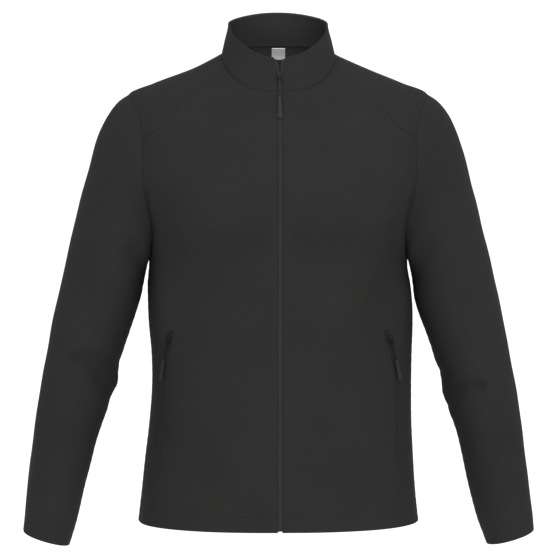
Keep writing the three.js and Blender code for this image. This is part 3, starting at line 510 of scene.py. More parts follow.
SEAM_NAMES = ["side", "front_armhole", "back_armhole", "front_shoulder", "back_shoulder", "front_yoke",
              "back_yoke", "neck_front", "neck_shoulder"]
body_seams = {(name, side): seam_line(name, sign) for name in SEAM_NAMES for side, sign in SIDES.items()}
body_seams["neck_back", "both"] = seam_line("neck_back")
armhole_lines = {side: SeamLine(fine_points * [sign, 1, 1]) for side, sign in SIDES.items()}
underarm_line = SeamLine(sleeve_form(np.full(160, math.pi), np.linspace(0, SLEEVE_LENGTH, 160)))


def nearest_seam(points, names):
    """Distance to the nearest of some seams of the body, and the place along it."""
    best, along = np.full(points.shape[:-1], FAR), np.zeros(points.shape[:-1])
    for key in names:
        away, here = body_seams[key].near(points)
        along = np.where(away < best, here, along)
        best = np.minimum(best, away)
    return best, along


SEAM_ROLL = 0.08


def seam_roll(away):
    """How far a seam pulls its two edges down."""
    return -SEAM_ROLL * np.exp(-((away / 2.0) ** 2))


def seam_shape(away, along):
    """The pulled edges of a seam, with the swell and the pucker of the cloth beside it."""
    swell = 0.28 * np.exp(-(((away - 6.0) / 4.5) ** 2))
    pucker = 0.16 * np.sin(along * 2 * np.pi / 13.0) * np.exp(-(((away - 5) / 6.0) ** 2))
    return seam_roll(away) + swell + pucker


def body_relief(points, away, along):
    """Height of the dressed body over its smooth form. It fades towards the seams and the zip."""
    ahead = points[..., 1] < 0
    front = line_depth(points[..., 0], points[..., 2], FRONT_WAVES)
    back = line_depth(points[..., 0], points[..., 2], BACK_WAVES)
    fade = smooth(away / 24)
    side = smooth(np.abs(points[..., 1]) / 40)
    centre = smooth((np.abs(points[..., 0]) - 4) / 22) * ahead + ~ahead
    waves = small_waves(points) * (0.3 + 0.7 * centre)
    hollow = np.where(ahead, front * centre, back) * side
    return (waves - hollow) * fade + seam_shape(away, along)


def rounding(away, reach=1.6, depth=0.55):
    """How much a free edge is rounded off."""
    return -depth * np.maximum(0, 1 - away / reach) ** 2


# Materials


def add_node(tree, kind, inputs=(), **settings):
    node = tree.nodes.new(kind)
    for key, value in settings.items():
        setattr(node, key, value)
    for key, value in dict(inputs).items():
        if isinstance(value, bpy.types.NodeSocket):
            tree.links.new(value, node.inputs[key])
        else:
            node.inputs[key].default_value = value
    return node


def math_node(tree, operation, *values):
    return add_node(tree, "ShaderNodeMath", dict(enumerate(values)), operation=operation).outputs[0]


def group_of(name, inputs, outputs):
    tree = bpy.data.node_groups.new(name, "ShaderNodeTree")
    for label, kind, value in inputs:
        socket = tree.interface.new_socket(label, in_out="INPUT", socket_type=kind)
        if value is not None:
            socket.default_value = value
    for label, kind in outputs:
        tree.interface.new_socket(label, in_out="OUTPUT", socket_type=kind)
    return tree, tree.nodes.new("NodeGroupInput"), tree.nodes.new("NodeGroupOutput")


def place_group(tree, group, inputs):
    return add_node(tree, "ShaderNodeGroup", inputs, node_tree=group)


FLOAT, VECTOR = "NodeSocketFloat", "NodeSocketVector"

# Woven threads, from a map in metres
weave_group, inlet, outlet = group_of(
    "woven_threads",
    [("Map", VECTOR, None), ("Thread", FLOAT, 0.0006), ("Slant", FLOAT, 0.5)],
    [("Height", FLOAT), ("Shade", FLOAT)],
)
split = add_node(weave_group, "ShaderNodeSeparateXYZ", {0: inlet.outputs["Map"]})
rate = math_node(weave_group, "DIVIDE", 2 * math.pi, inlet.outputs["Thread"])
warp = math_node(weave_group, "MULTIPLY", split.outputs[0], rate)
weft = math_node(weave_group, "MULTIPLY", split.outputs[1], rate)
slanted = math_node(weave_group, "MULTIPLY_ADD", weft, inlet.outputs["Slant"], warp)
warp_wave = math_node(weave_group, "SINE", slanted)
weft_wave = math_node(weave_group, "SINE", weft)
cross = math_node(weave_group, "MULTIPLY", warp_wave, weft_wave)
weave_group.links.new(cross, outlet.inputs["Height"])
weave_group.links.new(math_node(weave_group, "MULTIPLY_ADD", cross, 0.5, 0.5), outlet.inputs["Shade"])

# Soft patches of lighter and darker cloth, on object coordinates
patch_group, inlet, outlet = group_of(
    "soft_patches",
    [("Place", VECTOR, None), ("Size", FLOAT, 9.0), ("Fine", FLOAT, 160.0)],
    [("Broad", FLOAT), ("Grain", FLOAT)],
)
for value, scale, detail, roughness in (("Broad", "Size", 3.0, 0.55), ("Grain", "Fine", 4.0, 0.65)):
    noise_inputs = {"Vector": inlet.outputs["Place"], "Scale": inlet.outputs[scale], "Detail": detail,
                    "Roughness": roughness}
    noise = add_node(patch_group, "ShaderNodeTexNoise", noise_inputs)
    patch_group.links.new(noise.outputs[0], outlet.inputs[value])

# A groove at a distance from an edge, both in metres
groove_group, inlet, outlet = group_of(
    "stitched_groove",
    [("Distance", FLOAT, 0.0), ("At", FLOAT, 0.006), ("Width", FLOAT, 0.0008)],
    [("Groove", FLOAT)],
)
off = math_node(groove_group, "SUBTRACT", inlet.outputs["Distance"], inlet.outputs["At"])
ratio = math_node(groove_group, "DIVIDE", off, inlet.outputs["Width"])
squared = math_node(groove_group, "MULTIPLY", ratio, ratio)
bell = math_node(groove_group, "EXPONENT", math_node(groove_group, "MULTIPLY", squared, -1.0))
groove_group.links.new(bell, outlet.inputs["Groove"])


def new_material(name, roughness, specular, metallic=0.0):
    material = bpy.data.materials.new(name)
    material.use_nodes = True
    shader = material.node_tree.nodes["Principled BSDF"]
    shader.inputs["Roughness"].default_value = roughness
    shader.inputs["Specular IOR Level"].default_value = specular
    shader.inputs["Metallic"].default_value = metallic
    return material, material.node_tree, shader


def attribute(tree, name):
    return add_node(tree, "ShaderNodeAttribute", attribute_name=name).outputs["Fac"]


def shades(tree, value, dark, light):
    ramp = add_node(tree, "ShaderNodeValToRGB", {0: value})
    ramp.color_ramp.elements[0].color = (*dark, 1)
    ramp.color_ramp.elements[1].color = (*light, 1)
    ramp.color_ramp.elements[0].position = 0.2
    ramp.color_ramp.elements[1].position = 0.8
    return ramp.outputs[0]


def connect(tree, shader, tone, dark, light, height, rough):
    """The ends of a finish: colour from a tone, bumps from a height in metres, and roughness."""
    tree.links.new(shades(tree, tone, dark, light), shader.inputs["Base Color"])
    bump = add_node(tree, "ShaderNodeBump", {"Height": height, "Strength": 1.0, "Distance": 1.0})
    tree.links.new(bump.outputs[0], shader.inputs["Normal"])
    tree.links.new(rough, shader.inputs["Roughness"])


def cloth_material(name, dark, light, thread, grooves=(), specular=0.07, roughness=0.85, slant=0.5):
    """Cloth with a weave, soft patches, stitched grooves, painted highlight on raised places and painted
    shade in hollows.

    grooves are rows of attribute, distance, width and depth in metres, and the attribute that masks it."""
    material, tree, shader = new_material(name, roughness, specular)
    weave_map = add_node(tree, "ShaderNodeUVMap", uv_map="cloth").outputs[0]
    place = add_node(tree, "ShaderNodeTexCoord").outputs["Object"]
    weave = place_group(tree, weave_group, {"Map": weave_map, "Thread": thread, "Slant": slant})
    patches = place_group(tree, patch_group, {"Place": place})
    height = math_node(tree, "MULTIPLY", weave.outputs["Height"], 0.00003)
    height = math_node(tree, "MULTIPLY_ADD", patches.outputs["Grain"], 0.00022, height)
    tone = math_node(tree, "MULTIPLY_ADD", patches.outputs["Broad"], 0.24, 0.13)
    tone = math_node(tree, "MULTIPLY_ADD", patches.outputs["Grain"], 0.34, tone)
    tone = math_node(tree, "MULTIPLY_ADD", weave.outputs["Shade"], 0.16, tone)
    for distance, at, width, depth, mask in grooves:
        groove_inputs = {"Distance": attribute(tree, distance), "At": at, "Width": width}
        value = place_group(tree, groove_group, groove_inputs).outputs["Groove"]
        if mask:
            value = math_node(tree, "MULTIPLY", value, attribute(tree, mask))
        height = math_node(tree, "MULTIPLY_ADD", value, -depth, height)
        # Painted shade: each groove also darkens the colour along the seam lines and stitch rows.
        tone = math_node(tree, "MULTIPLY_ADD", value, -0.08, tone)
    # Painted light: the relief height in the raised attribute makes raised cloth lighter and hollows darker.
    tone = math_node(tree, "MULTIPLY_ADD", attribute(tree, "raised"), 0.10, tone)
    rough = math_node(tree, "MULTIPLY_ADD", patches.outputs["Grain"], 0.16, roughness - 0.08)
    connect(tree, shader, tone, dark, light, height, rough)
    return material


def plain_material(name, dark, light, roughness, specular, metallic=0.0):
    """A moulded or painted finish with grain and small changes of tone."""
    material, tree, shader = new_material(name, roughness, specular, metallic)
    place = add_node(tree, "ShaderNodeTexCoord").outputs["Object"]
    patches = place_group(tree, patch_group, {"Place": place, "Size": 60.0, "Fine": 960.0})
    tone = math_node(tree, "MULTIPLY", patches.outputs["Broad"], 0.5)
    tone = math_node(tree, "MULTIPLY_ADD", patches.outputs["Grain"], 0.5, tone)
    height = math_node(tree, "MULTIPLY", patches.outputs["Grain"], 0.00006)
    rough = math_node(tree, "MULTIPLY_ADD", patches.outputs["Grain"], 0.2, roughness - 0.1)
    connect(tree, shader, tone, dark, light, height, rough)
    return material


SEAM_ROWS = [("from_seam", 0.0, 0.0008, 0.00006, None)]
HEM_ROWS = [("from_hem", at, 0.0009, 0.0004, None) for at in (0.0225, 0.0282)]
ZIP_ROWS = [("from_zip", 0.0027, 0.0007, 0.0001, None)]
ARM_ROWS = [("from_armhole", at, 0.0009, 0.0004, "stitched") for at in (0.008, 0.0148)]
RIM_ROWS = [("from_hem", 0.0062, 0.0008, 0.0003, None)]
SHELL = {"dark": (0.0125, 0.0122, 0.0120), "light": (0.0215, 0.0212, 0.0208), "thread": 0.0011}
KNIT = {"thread": 0.0022, "specular": 0.10, "roughness": 0.92, "slant": 0.0}

front_cloth = cloth_material("softshell_front", grooves=SEAM_ROWS + HEM_ROWS + ZIP_ROWS + ARM_ROWS, **SHELL)
back_cloth = cloth_material("softshell_back", grooves=SEAM_ROWS + HEM_ROWS + ARM_ROWS, **SHELL)
yoke_cloth = cloth_material("softshell_yoke", grooves=SEAM_ROWS + ARM_ROWS, **SHELL)
sleeve_cloth = cloth_material("softshell_sleeve", grooves=SEAM_ROWS + HEM_ROWS, **SHELL)
collar_cloth = cloth_material("softshell_collar", grooves=SEAM_ROWS + RIM_ROWS + ZIP_ROWS, **SHELL)
guard_cloth = cloth_material("softshell_guard", **SHELL)
# Painted light: the panels' and sleeves' lining is about twice as light as the collar's lining of the same
# knit, to lift its deep shade inside.
lightened_lining = cloth_material("inside_knit", (0.046, 0.0455, 0.045), (0.075, 0.0745, 0.074), **KNIT)
collar_lining = cloth_material("inside_knit_collar", (0.022, 0.0218, 0.0217), (0.037, 0.0367, 0.0365), **KNIT)
zip_tape = cloth_material("zip_tape", (0.016, 0.016, 0.0162), (0.028, 0.028, 0.0285), 0.0009, slant=0.0)
welt_cloth = cloth_material("pocket_welt", (0.0118, 0.0116, 0.0115), (0.0205, 0.0202, 0.0200), 0.0009,
                            slant=0.0)
label_cloth = cloth_material("label_satin", (0.89, 0.88, 0.88), (0.95, 0.945, 0.945), 0.0007, specular=0.3,
                             roughness=0.6, slant=0.0)
thread_finish = plain_material("thread", (0.010, 0.010, 0.010), (0.024, 0.0235, 0.023), 0.6, 0.3)
teeth_finish = plain_material("zip_teeth", (0.019, 0.019, 0.020), (0.032, 0.032, 0.033), 0.6, 0.15)
metal_finish = plain_material("painted_metal", (0.0085, 0.0085, 0.009), (0.0145, 0.0145, 0.0152), 0.5, 0.14,
                              metallic=0.3)
grip_finish = plain_material("moulded_grip", (0.0165, 0.0165, 0.017), (0.0255, 0.0255, 0.0265), 0.65, 0.1)


# Meshes


def finished(name, points, faces, materials):
    """A mesh object from points in millimetres, in the collection."""
    mesh = bpy.data.meshes.new(name)
    mesh.from_pydata((np.asarray(points) * MM).tolist(), [], faces)
    for material in materials:
        mesh.materials.append(material)
    mesh.shade_smooth()
    mesh.validate()
    made = bpy.data.objects.new(name, mesh)
    bpy.context.scene.collection.objects.link(made)
    return made


def give_values(mesh, label, values):
    layer = mesh.attributes.new(label, "FLOAT", "POINT")
    layer.data.foreach_set("value", values)


def corner_points(mesh):
    """The index of the point at each corner of the faces."""
    corners = np.empty(len(mesh.loops), int)
    mesh.loops.foreach_get("vertex_index", corners)
    return corners


def lay_map(mesh, u, v):
    """The map of the cloth that its weave is drawn on, from lengths in millimetres."""
    layer = mesh.uv_layers.new(name="cloth")
    layer.data.foreach_set("uv", (np.column_stack([u, v]) * MM).reshape(-1))


def lengths_in(grid, axis):
    """How far each point of a grid is along its column (axis 0) or its row (axis 1)."""
    steps = np.linalg.norm(np.diff(grid, axis=axis), axis=-1)
    return np.insert(np.cumsum(steps, axis), 0, 0.0, axis)


def grid_quads(rows, columns, closed, offset=0):
    j = np.arange(rows - 1)[:, None]
    i = np.arange(columns if closed else columns - 1)[None]
    after = (i + 1) % columns
    low, high = j * columns, (j + 1) * columns
    return np.stack([low + i, low + after, high + after, high + i], -1).reshape(-1, 4) + offset


def rim_quads(rows, columns, closed):
    back = rows * columns
    i = np.arange(columns if closed else columns - 1)
    after = (i + 1) % columns
    last = (rows - 1) * columns
    quads = [
        np.stack([i, i + back, after + back, after], -1),
        np.stack([last + i, last + after, last + after + back, last + i + back], -1),
    ]
    if not closed:
        j = np.arange(rows - 1) * columns
        up = j + columns
        side = columns - 1
        quads.append(np.stack([j, up, up + back, j + back], -1))
        quads.append(np.stack([j + side, j + side + back, up + side + back, up + side], -1))
    return np.concatenate(quads)


def make_shell(name, outer, inner, closed, values, materials):
    """A cloth wall between an outer and an inner grid. values are attributes of the outer grid's points."""
    rows, columns = outer.shape[:2]
    outside = grid_quads(rows, columns, closed)
    inside = grid_quads(rows, columns, closed, rows * columns)[:, ::-1]
    faces = np.concatenate([outside, inside, rim_quads(rows, columns, closed)])
    points = np.concatenate([outer.reshape(-1, 3), inner.reshape(-1, 3)])
    a, b, c, d = (points[faces[:, k]] for k in range(4))
    if (a * (np.cross(b, c) + np.cross(c, d))).sum() < 0:
        faces = faces[:, ::-1]
    made = finished(name, points, faces.tolist(), materials)
    mesh = made.data
    finish = np.zeros(len(faces), int)
    finish[len(outside):len(outside) + len(inside)] = 1
    mesh.polygons.foreach_set("material_index", finish)
    for label, value in values.items():
        give_values(mesh, label, np.tile(np.asarray(value, float).reshape(-1), 2))
    u = lengths_in(np.concatenate([outer, outer[:, :1]], 1) if closed else outer, 1)
    u -= u[:, -1:] / 2
    place = corner_points(mesh) % (rows * columns)
    row, column = place // columns, place % columns
    if closed:
        face_columns = column.reshape(-1, 4)
        wraps = (face_columns.max(1) - face_columns.min(1)) > columns // 2
        column = np.where(wraps[:, None] & (face_columns == 0), columns, face_columns).reshape(-1)
    lay_map(mesh, u[row, column], lengths_in(outer, 0)[row, column % columns])
    return made


def edge_distances(outer):
    """Distance of each point to the four edges of its grid, along rows and columns."""
    left, low = lengths_in(outer, 1), lengths_in(outer, 0)
    return left, left[:, -1:] - left, low, low[-1:] - low


# The other side of the seams at the armhole and at the neck
fine_tree = tree_of(fine_points)
sleeve_side_normals = sleeve_normal(fine_around, np.full(len(fine_around), 0.5))
neck_turns = np.linspace(0.02, 2 * np.pi - 0.02, 500)
neck_tree = tree_of(body_form(neck_turns, np.full(500, float(NECKLINE))))
neck_normals = collar_normal(neck_turns, np.full(500, 0.002))
SEAM_REACH = 2.5


def between_walls(normals, others):
    """Depth directions that end both walls of a seam on the plane between them."""
    between = unit(normals + others)
    return between / np.maximum((between * normals).sum(-1, keepdims=True), 0.5)


def mitred(points, normals):
    """Depth directions of a body panel, mitred where its edge meets a sleeve or the collar."""
    depths = normals.copy()
    rows, columns = points.shape[:2]
    for j in range(rows):
        for i in range(columns):
            if 0 < j < rows - 1 and 0 < i < columns - 1:
                continue
            point = points[j, i]
            flip = [1 if point[0] >= 0 else -1, 1, 1]
            _, near, away = fine_tree.find(point * flip)
            other = sleeve_side_normals[near] * flip
            if away > SEAM_REACH:
                _, near, away = neck_tree.find(point)
                other = neck_normals[near]
            if away < SEAM_REACH:
                depths[j, i] = between_walls(normals[j, i], other)
    return depths


def inset(points, depths, closed):
    """Takes a panel's edge back from the seam line."""
    moves = np.zeros_like(points)

    def move(j, i, before, after, inside):
        across = unit(np.cross(points[after] - points[before], depths[j, i]))
        towards = points[inside] - points[j, i]
        moves[j, i] += across * (SEAM_GAP if across @ towards >= 0 else -SEAM_GAP)

    rows, columns = points.shape[:2]
    for i in range(columns):
        left = (i - 1) % columns if closed else max(i - 1, 0)
        right = (i + 1) % columns if closed else min(i + 1, columns - 1)
        move(0, i, (0, left), (0, right), (1, i))
        move(rows - 1, i, (rows - 1, left), (rows - 1, right), (rows - 2, i))
    if not closed:
        for j in range(rows):
            below, above = max(j - 1, 0), min(j + 1, rows - 1)
            move(j, 0, (below, 0), (above, 0), (j, 1))
            move(j, columns - 1, (below, columns - 1), (above, columns - 1), (j, columns - 2))
    return points + moves


def walls(base, normals, depths, closed, relief, inner_relief, off, thickness):
    """The outer and the inner face of a cloth wall, taken back a little from its seams."""
    body = inset(base, depths, closed)
    outer = body + normals * (relief + off)[..., None]
    inner = body - depths * (thickness + off * 0.8)[..., None] + normals * inner_relief[..., None]
    return outer, inner


def tuck(points, away, reach):
    """The soft hollow beside the front armhole seam, where the arm hangs against the chest."""
    _, y, z = np.moveaxis(points, -1, 0)
    tall = smooth((z - TUCK_LOW) / TUCK_END) * smooth((TUCK_HIGH + TUCK_END - z) / (2 * TUCK_END))
    deep = TUCK_DEPTH * tall * smooth(-y / 20) * np.exp(-((away / reach) ** 2))
    return deep[..., None] * np.array([0, 1, 0])


def dress_panel(name, places, keys, free, materials, arm_sides):
    """A body panel: its form, small waves and seams, and the distances its stitches are drawn from.

    free names the panel's free edges: the zip edge starts its rows, and the hem is its lowest row."""
    turn, ring = places[..., 0], places[..., 1]
    base, normals = body_form(turn, ring), body_normal(turn, ring)
    away, along = nearest_seam(base, keys)
    relief = body_relief(base, away, along)
    start, _, low, _ = edge_distances(base)
    zip_away = start if "zip" in free else np.full(away.shape, FAR)
    hem_away = low if "hem" in free else np.full(away.shape, FAR)
    arm_away = np.min([armhole_lines[side].near(base)[0] for side in arm_sides], 0)
    off = rounding(hem_away) + rounding(zip_away, 0.9, 0.3)
    depths = mitred(base, normals)
    outer, inner = walls(base, normals, depths, False, relief, relief - seam_roll(away), off, CLOTH)
    drawn = tuck(base, arm_away, TUCK_BODY)
    outer, inner = outer + drawn, inner + drawn
    values = {
        "from_seam": away * MM,
        "from_hem": hem_away * MM,
        "from_zip": zip_away * MM,
        "from_armhole": arm_away * MM,
        "stitched": smooth((base[..., 2] + 262) / 60),
        # Relief height, which the cloth's colour turns into painted highlight on raised places and painted
        # shade in hollows
        "raised": np.clip(relief / 2.5, -1, 1),
    }
    made = make_shell(name, outer, inner, False, values, materials)
    return made, outer, normals


def side_shares():
    """Shares of the three seams that make a panel's outer side, and the front edge rings beside them."""
    parts = [shares(steps * ROWS_PER_STEP) for steps in SIDE_STEPS]
    parts[0] = np.concatenate([[0, 0.003, 0.008], parts[0][1:]])
    parts[2] = np.concatenate([parts[2][:-1], [0.978, 0.992, 1]])
    starts = np.cumsum((0,) + SIDE_STEPS)
    along = joined(*[starts[k] + parts[k][:, None] * SIDE_STEPS[k] for k in range(3)])[:, 0] / starts[3]
    return parts, along


def outer_side(parts, half):
    """The outer side of a front or back panel, from the hem up to the neck."""
    return joined(spaced(SEAMS["side"], parts[0]), spaced(SEAMS[f"{half}_armhole"], parts[1]),
                  spaced(SEAMS[f"{half}_yoke"], 1 - parts[2]))


def between_edges(bottom, top, start, end, across):
    """Places inside four edges. bottom and top run the same way, and so do start and end."""
    u = across[None, :, None]
    v = np.linspace(0, 1, len(start))[:, None, None]
    lines = (1 - v) * bottom[None] + v * top[None] + (1 - u) * start[:, None] + u * end[:, None]
    low = (1 - u) * bottom[0] + u * bottom[-1]
    high = (1 - u) * top[0] + u * top[-1]
    return lines - (1 - v) * low - v * high


def front_places(sign):
    parts, along = side_shares()
    rings = HEM + (NECKLINE - HEM) * along
    edge = np.column_stack([turn_at_width(row_at(BODY_RINGS, rings), FRONT_EDGE, False), rings])
    across = shares(50, 0.006, 0.006)
    hem = spaced(level(HEM, edge[0, 0], QUARTER), across)
    top = spaced(SEAMS["neck_front"], across)
    return between_edges(hem, top, edge, outer_side(parts, "front"), across) * [sign, 1]


def back_places():
    outside = outer_side(side_shares()[0], "back")
    across = shares(104, 0.003, 0.003)
    hem = spaced(level(HEM, QUARTER, 3 * QUARTER), across)
    top = spaced(SEAMS["neck_back"], across)
    return between_edges(hem, top, outside, mirrored(outside), across)


def yoke_places(sign):
    along = shares(46, 0.008, 0.008)
    half = np.unique(np.concatenate([shares(34, 0.008, 0.008), [0.5]]))
    armhole = joined(spaced(SEAMS["front_shoulder"], half[half <= 0.5] * 2),
                     spaced(SEAMS["back_shoulder"], 1 - (half[half >= 0.5] - 0.5) * 2))
    places = between_edges(spaced(SEAMS["front_yoke"], along), spaced(SEAMS["back_yoke"], along),
                           spaced(SEAMS["neck_shoulder"], half), armhole, along)
    return places * [sign, 1]


def seam_keys(side, names):
    return [(name, side) for name in names]


FRONT_SEAMS = ["side", "front_armhole", "front_yoke", "neck_front"]
BACK_SEAMS = ["side", "back_armhole", "back_yoke"]
YOKE_SEAMS = ["front_yoke", "back_yoke", "neck_shoulder", "front_shoulder", "back_shoulder"]
panels = {}
for side, sign in SIDES.items():
    keys = seam_keys(side, FRONT_SEAMS)
    panels[f"front_{side}"] = dress_panel(f"front_{side}_cloth", front_places(sign), keys, ("zip", "hem"),
                                          [front_cloth, lightened_lining], [side])
    keys = seam_keys(side, YOKE_SEAMS)
    panels[f"yoke_{side}"] = dress_panel(f"yoke_{side}_cloth", yoke_places(sign), keys, (),
                                         [yoke_cloth, lightened_lining], [side])
back_keys = seam_keys("left", BACK_SEAMS) + seam_keys("right", BACK_SEAMS) + [("neck_back", "both")]
panels["back"] = dress_panel("back_cloth", back_places(), back_keys, ("hem",), [back_cloth, lightened_lining], SIDES)

# The sleeves: one right-hand form for both, with folds and waves of their own
down_rows = np.concatenate([[0, 1.2, 3.0], np.linspace(6, SLEEVE_LENGTH - 4, 138),
                            [SLEEVE_LENGTH - 1.4, SLEEVE_LENGTH]])
sleeve_around, sleeve_down = np.meshgrid(fine_around[:-1][::2], down_rows)
sleeve_base = sleeve_form(sleeve_around, sleeve_down)
sleeve_normals = sleeve_normal(sleeve_around, sleeve_down)
sleeve_depths = sleeve_normals.copy()
body_side = body_normal(*np.moveaxis(fine_ring[:-1][::2], -1, 0))
sleeve_depths[0] = between_walls(sleeve_normals[0], body_side)
sleeve_drawn = tuck(sleeve_base, sleeve_down, TUCK_SLEEVE)
under_away, under_along = underarm_line.near(sleeve_base)
cuff_lengths = lengths_along(sleeve_base[:, 0])
cuff_away = np.broadcast_to((cuff_lengths[-1] - cuff_lengths)[:, None], sleeve_down.shape)


def sleeve_relief(side):
    """Height of the dressed sleeve over its smooth form, for the right hand or the mirrored left one."""
    down = sleeve_down
    deep = sleeve_depth(sleeve_around, down, SLEEVE_FOLDS[side]) * (down > 0) * smooth(down / 16)
    soft = sleeve_depth(sleeve_around, down, SLEEVE_WAVES[side]) * smooth(down / 40)
    waves = small_waves(sleeve_base * [SIDES[side], 1, 1]) * smooth(down / 30)
    calm = smooth((SLEEVE_LENGTH - down) / 34) * 0.75 + 0.25
    head_seam = seam_shape(down, sleeve_around * HEAD_RADIUS)
    under_seam = seam_shape(under_away, under_along) * smooth(down / 10)
    return (waves - soft) * calm - deep + head_seam + under_seam


def make_sleeve(side):
    relief = sleeve_relief(side)
    seam_away = np.minimum(sleeve_down, under_away)
    inner_relief = relief - seam_roll(seam_away)
    outer, inner = walls(sleeve_base, sleeve_normals, sleeve_depths, True, relief, inner_relief,
                         rounding(cuff_away), CLOTH)
    flip = np.array([SIDES[side], 1, 1])
    outer, inner = (outer + sleeve_drawn) * flip, (inner + sleeve_drawn) * flip
    values = {
        "from_seam": seam_away * MM,
        "from_hem": cuff_away * MM,
        # Relief height, which the cloth's colour turns into painted highlight on raised places and painted
        # shade in hollows
        "raised": np.clip(relief / 4, -1, 1),
    }
    made = make_shell(f"sleeve_{side}_cloth", outer, inner, True, values, [sleeve_cloth, lightened_lining])
    return made, outer, sleeve_normals * flip


sleeves = {side: make_sleeve(side) for side in SIDES}


def open_spread(z):
    t = np.clip((z - OPEN_FROM) / (OPEN_TO - OPEN_FROM), 0, 1)
    return OPEN_SPREAD * t ** 1.3


def collar_places(share_rows):
    """The collar's grid: each row starts and ends at the front edges, which spread above the slider."""
    half = joined(spaced(SEAMS["neck_front"], shares(27)), spaced(SEAMS["neck_shoulder"], shares(24)))[:, 0]
    back = spaced(SEAMS["neck_back"], shares(42))[1:, 0]
    edge = half[0] + np.array([0, 0.004, 0.012])
    turns = np.concatenate([edge, half[1:], back, 2 * np.pi - half[-2:0:-1], 2 * np.pi - edge[::-1]])
    rings = row_at(COLLAR_RINGS, share_rows)[:, 1:]
    edges = turn_at_width(rings, FRONT_EDGE + open_spread(rings[:, 0]), False)
    scale = (np.pi - edges) / (np.pi - half[0])
    places = np.pi + (turns[None] - np.pi) * scale[:, None]
    return places, np.broadcast_to(share_rows[:, None], places.shape)


collar_turn, collar_share = collar_places(
    np.concatenate([[0, 0.02, 0.05], np.linspace(0.1, 0.9, 13), [0.95, 0.98, 1.0]]))
collar_base = collar_form(collar_turn, collar_share)
collar_normals = collar_normal(collar_turn, collar_share)
left_away, right_away, low_away, high_away = edge_distances(collar_base)
zip_away = np.minimum(left_away, right_away)
collar_bead = 0.75 * np.exp(-(((high_away - 1.6) / 2.2) ** 2))
collar_relief = seam_shape(low_away, left_away) + collar_bead
collar_relief += small_waves(collar_base * 1.4) * 0.55 * smooth(low_away / 14) * smooth((zip_away + 4) / 30)
collar_off = rounding(zip_away, 0.9, 0.3) + rounding(high_away, 1.8, 0.7)
collar_depths = collar_normals.copy()
neck_side = body_normal(collar_turn[0], np.full(collar_turn.shape[1], float(NECKLINE)))
collar_depths[0] = between_walls(collar_normals[0], neck_side)
collar_inside = (collar_relief - seam_roll(low_away)) * 0.6 - collar_bead * 1.5
collar_outer, collar_inner = walls(collar_base, collar_normals, collar_depths, False, collar_relief,
                                   collar_inside, collar_off, COLLAR_CLOTH)
collar = make_shell("collar_cloth", collar_outer, collar_inner, False, {
    "from_seam": low_away * MM,
    "from_hem": high_away * MM,
    "from_zip": zip_away * MM,
    # Relief height for painted highlight and shade in the cloth's colour, with a painted highlight on the
    # rolled rim
    "raised": np.clip(collar_relief / 2, -1, 1),
}, [collar_cloth, collar_lining])

# Stitches: short threads along a line on the dressed cloth
STITCH_LENGTH, STITCH_GAP, STITCH_HALF, STITCH_SUNK = 2.5, 0.9, 0.24, 0.12
STITCH_MARKS = np.array([0, 0.2, 0.5, 0.8, 1])
STITCH_HEIGHTS = np.array([-0.3, 0.02, 0.1, 0.02, -0.3])


def read_at(marks, along, values):
    """Points or directions of a line, read at marks of its length."""
    return np.stack([np.interp(marks, along, values[:, k]) for k in range(3)], -1)


def line_at(grid, ways, distances, at):
    """The line on a grid where a distance is first reached, read along each column."""
    points, normals = [], []
    for i in range(grid.shape[1]):
        column = distances[:, i]
        crossing = np.nonzero((column[:-1] - at) * (column[1:] - at) <= 0)[0]
        if not len(crossing):
            continue
        k = crossing[0]
        t = (at - column[k]) / (column[k + 1] - column[k] + 1e-9)
        points.append(grid[k, i] * (1 - t) + grid[k + 1, i] * t)
        normals.append(ways[k, i])
    return np.array(points), np.array(normals)


def stitch_row(points, ways):
    """Points and faces of the stitches along a line."""
    along = lengths_along(points)
    count = int(along[-1] / (STITCH_LENGTH + STITCH_GAP))
    corners, faces = [], []
    for start in np.linspace(0, along[-1] - STITCH_LENGTH, max(count, 1)):
        marks = start + STITCH_LENGTH * STITCH_MARKS
        line = read_at(marks, along, points)
        way = unit(read_at(marks[2], along, ways))
        side = unit(np.cross(way, unit(line[-1] - line[0])))
        line = line + way[None] * (STITCH_HEIGHTS - STITCH_SUNK)[:, None]
        first = len(corners)
        corners.append(line[0])
        for k in (1, 2, 3):
            for across, up in ((1, 0), (0, 1), (-1, 0), (0, -1)):
                corners.append(line[k] + (side * across + way * up) * STITCH_HALF)
        corners.append(line[4])
        for k in range(4):
            after = (k + 1) % 4
            faces.append([first, first + 1 + after, first + 1 + k])
            faces.append([first + 13, first + 9 + k, first + 9 + after])
            for ring in (first + 1, first + 5):
                faces.append([ring + k, ring + after, ring + 4 + after, ring + 4 + k])
    return corners, faces


def stitch_down(grid, ways, distances, at):
    return stitch_row(*line_at(grid, ways, distances, at))


def stitch_across(grid, ways, distances, at):
    return stitch_down(grid.swapaxes(0, 1), ways.swapaxes(0, 1), distances.T, at)


def stitch_round(grid, ways, distances, at):
    points, normals = line_at(grid, ways, distances, at)
    return stitch_row(np.vstack([points, points[:1]]), np.vstack([normals, normals[:1]]))


def make_stitches(name, rows):
    points, faces = [], []
    for corners, row_faces in rows:
        faces += [[index + len(points) for index in face] for face in row_faces]
        points += corners
    return finished(name, points, faces, [thread_finish])


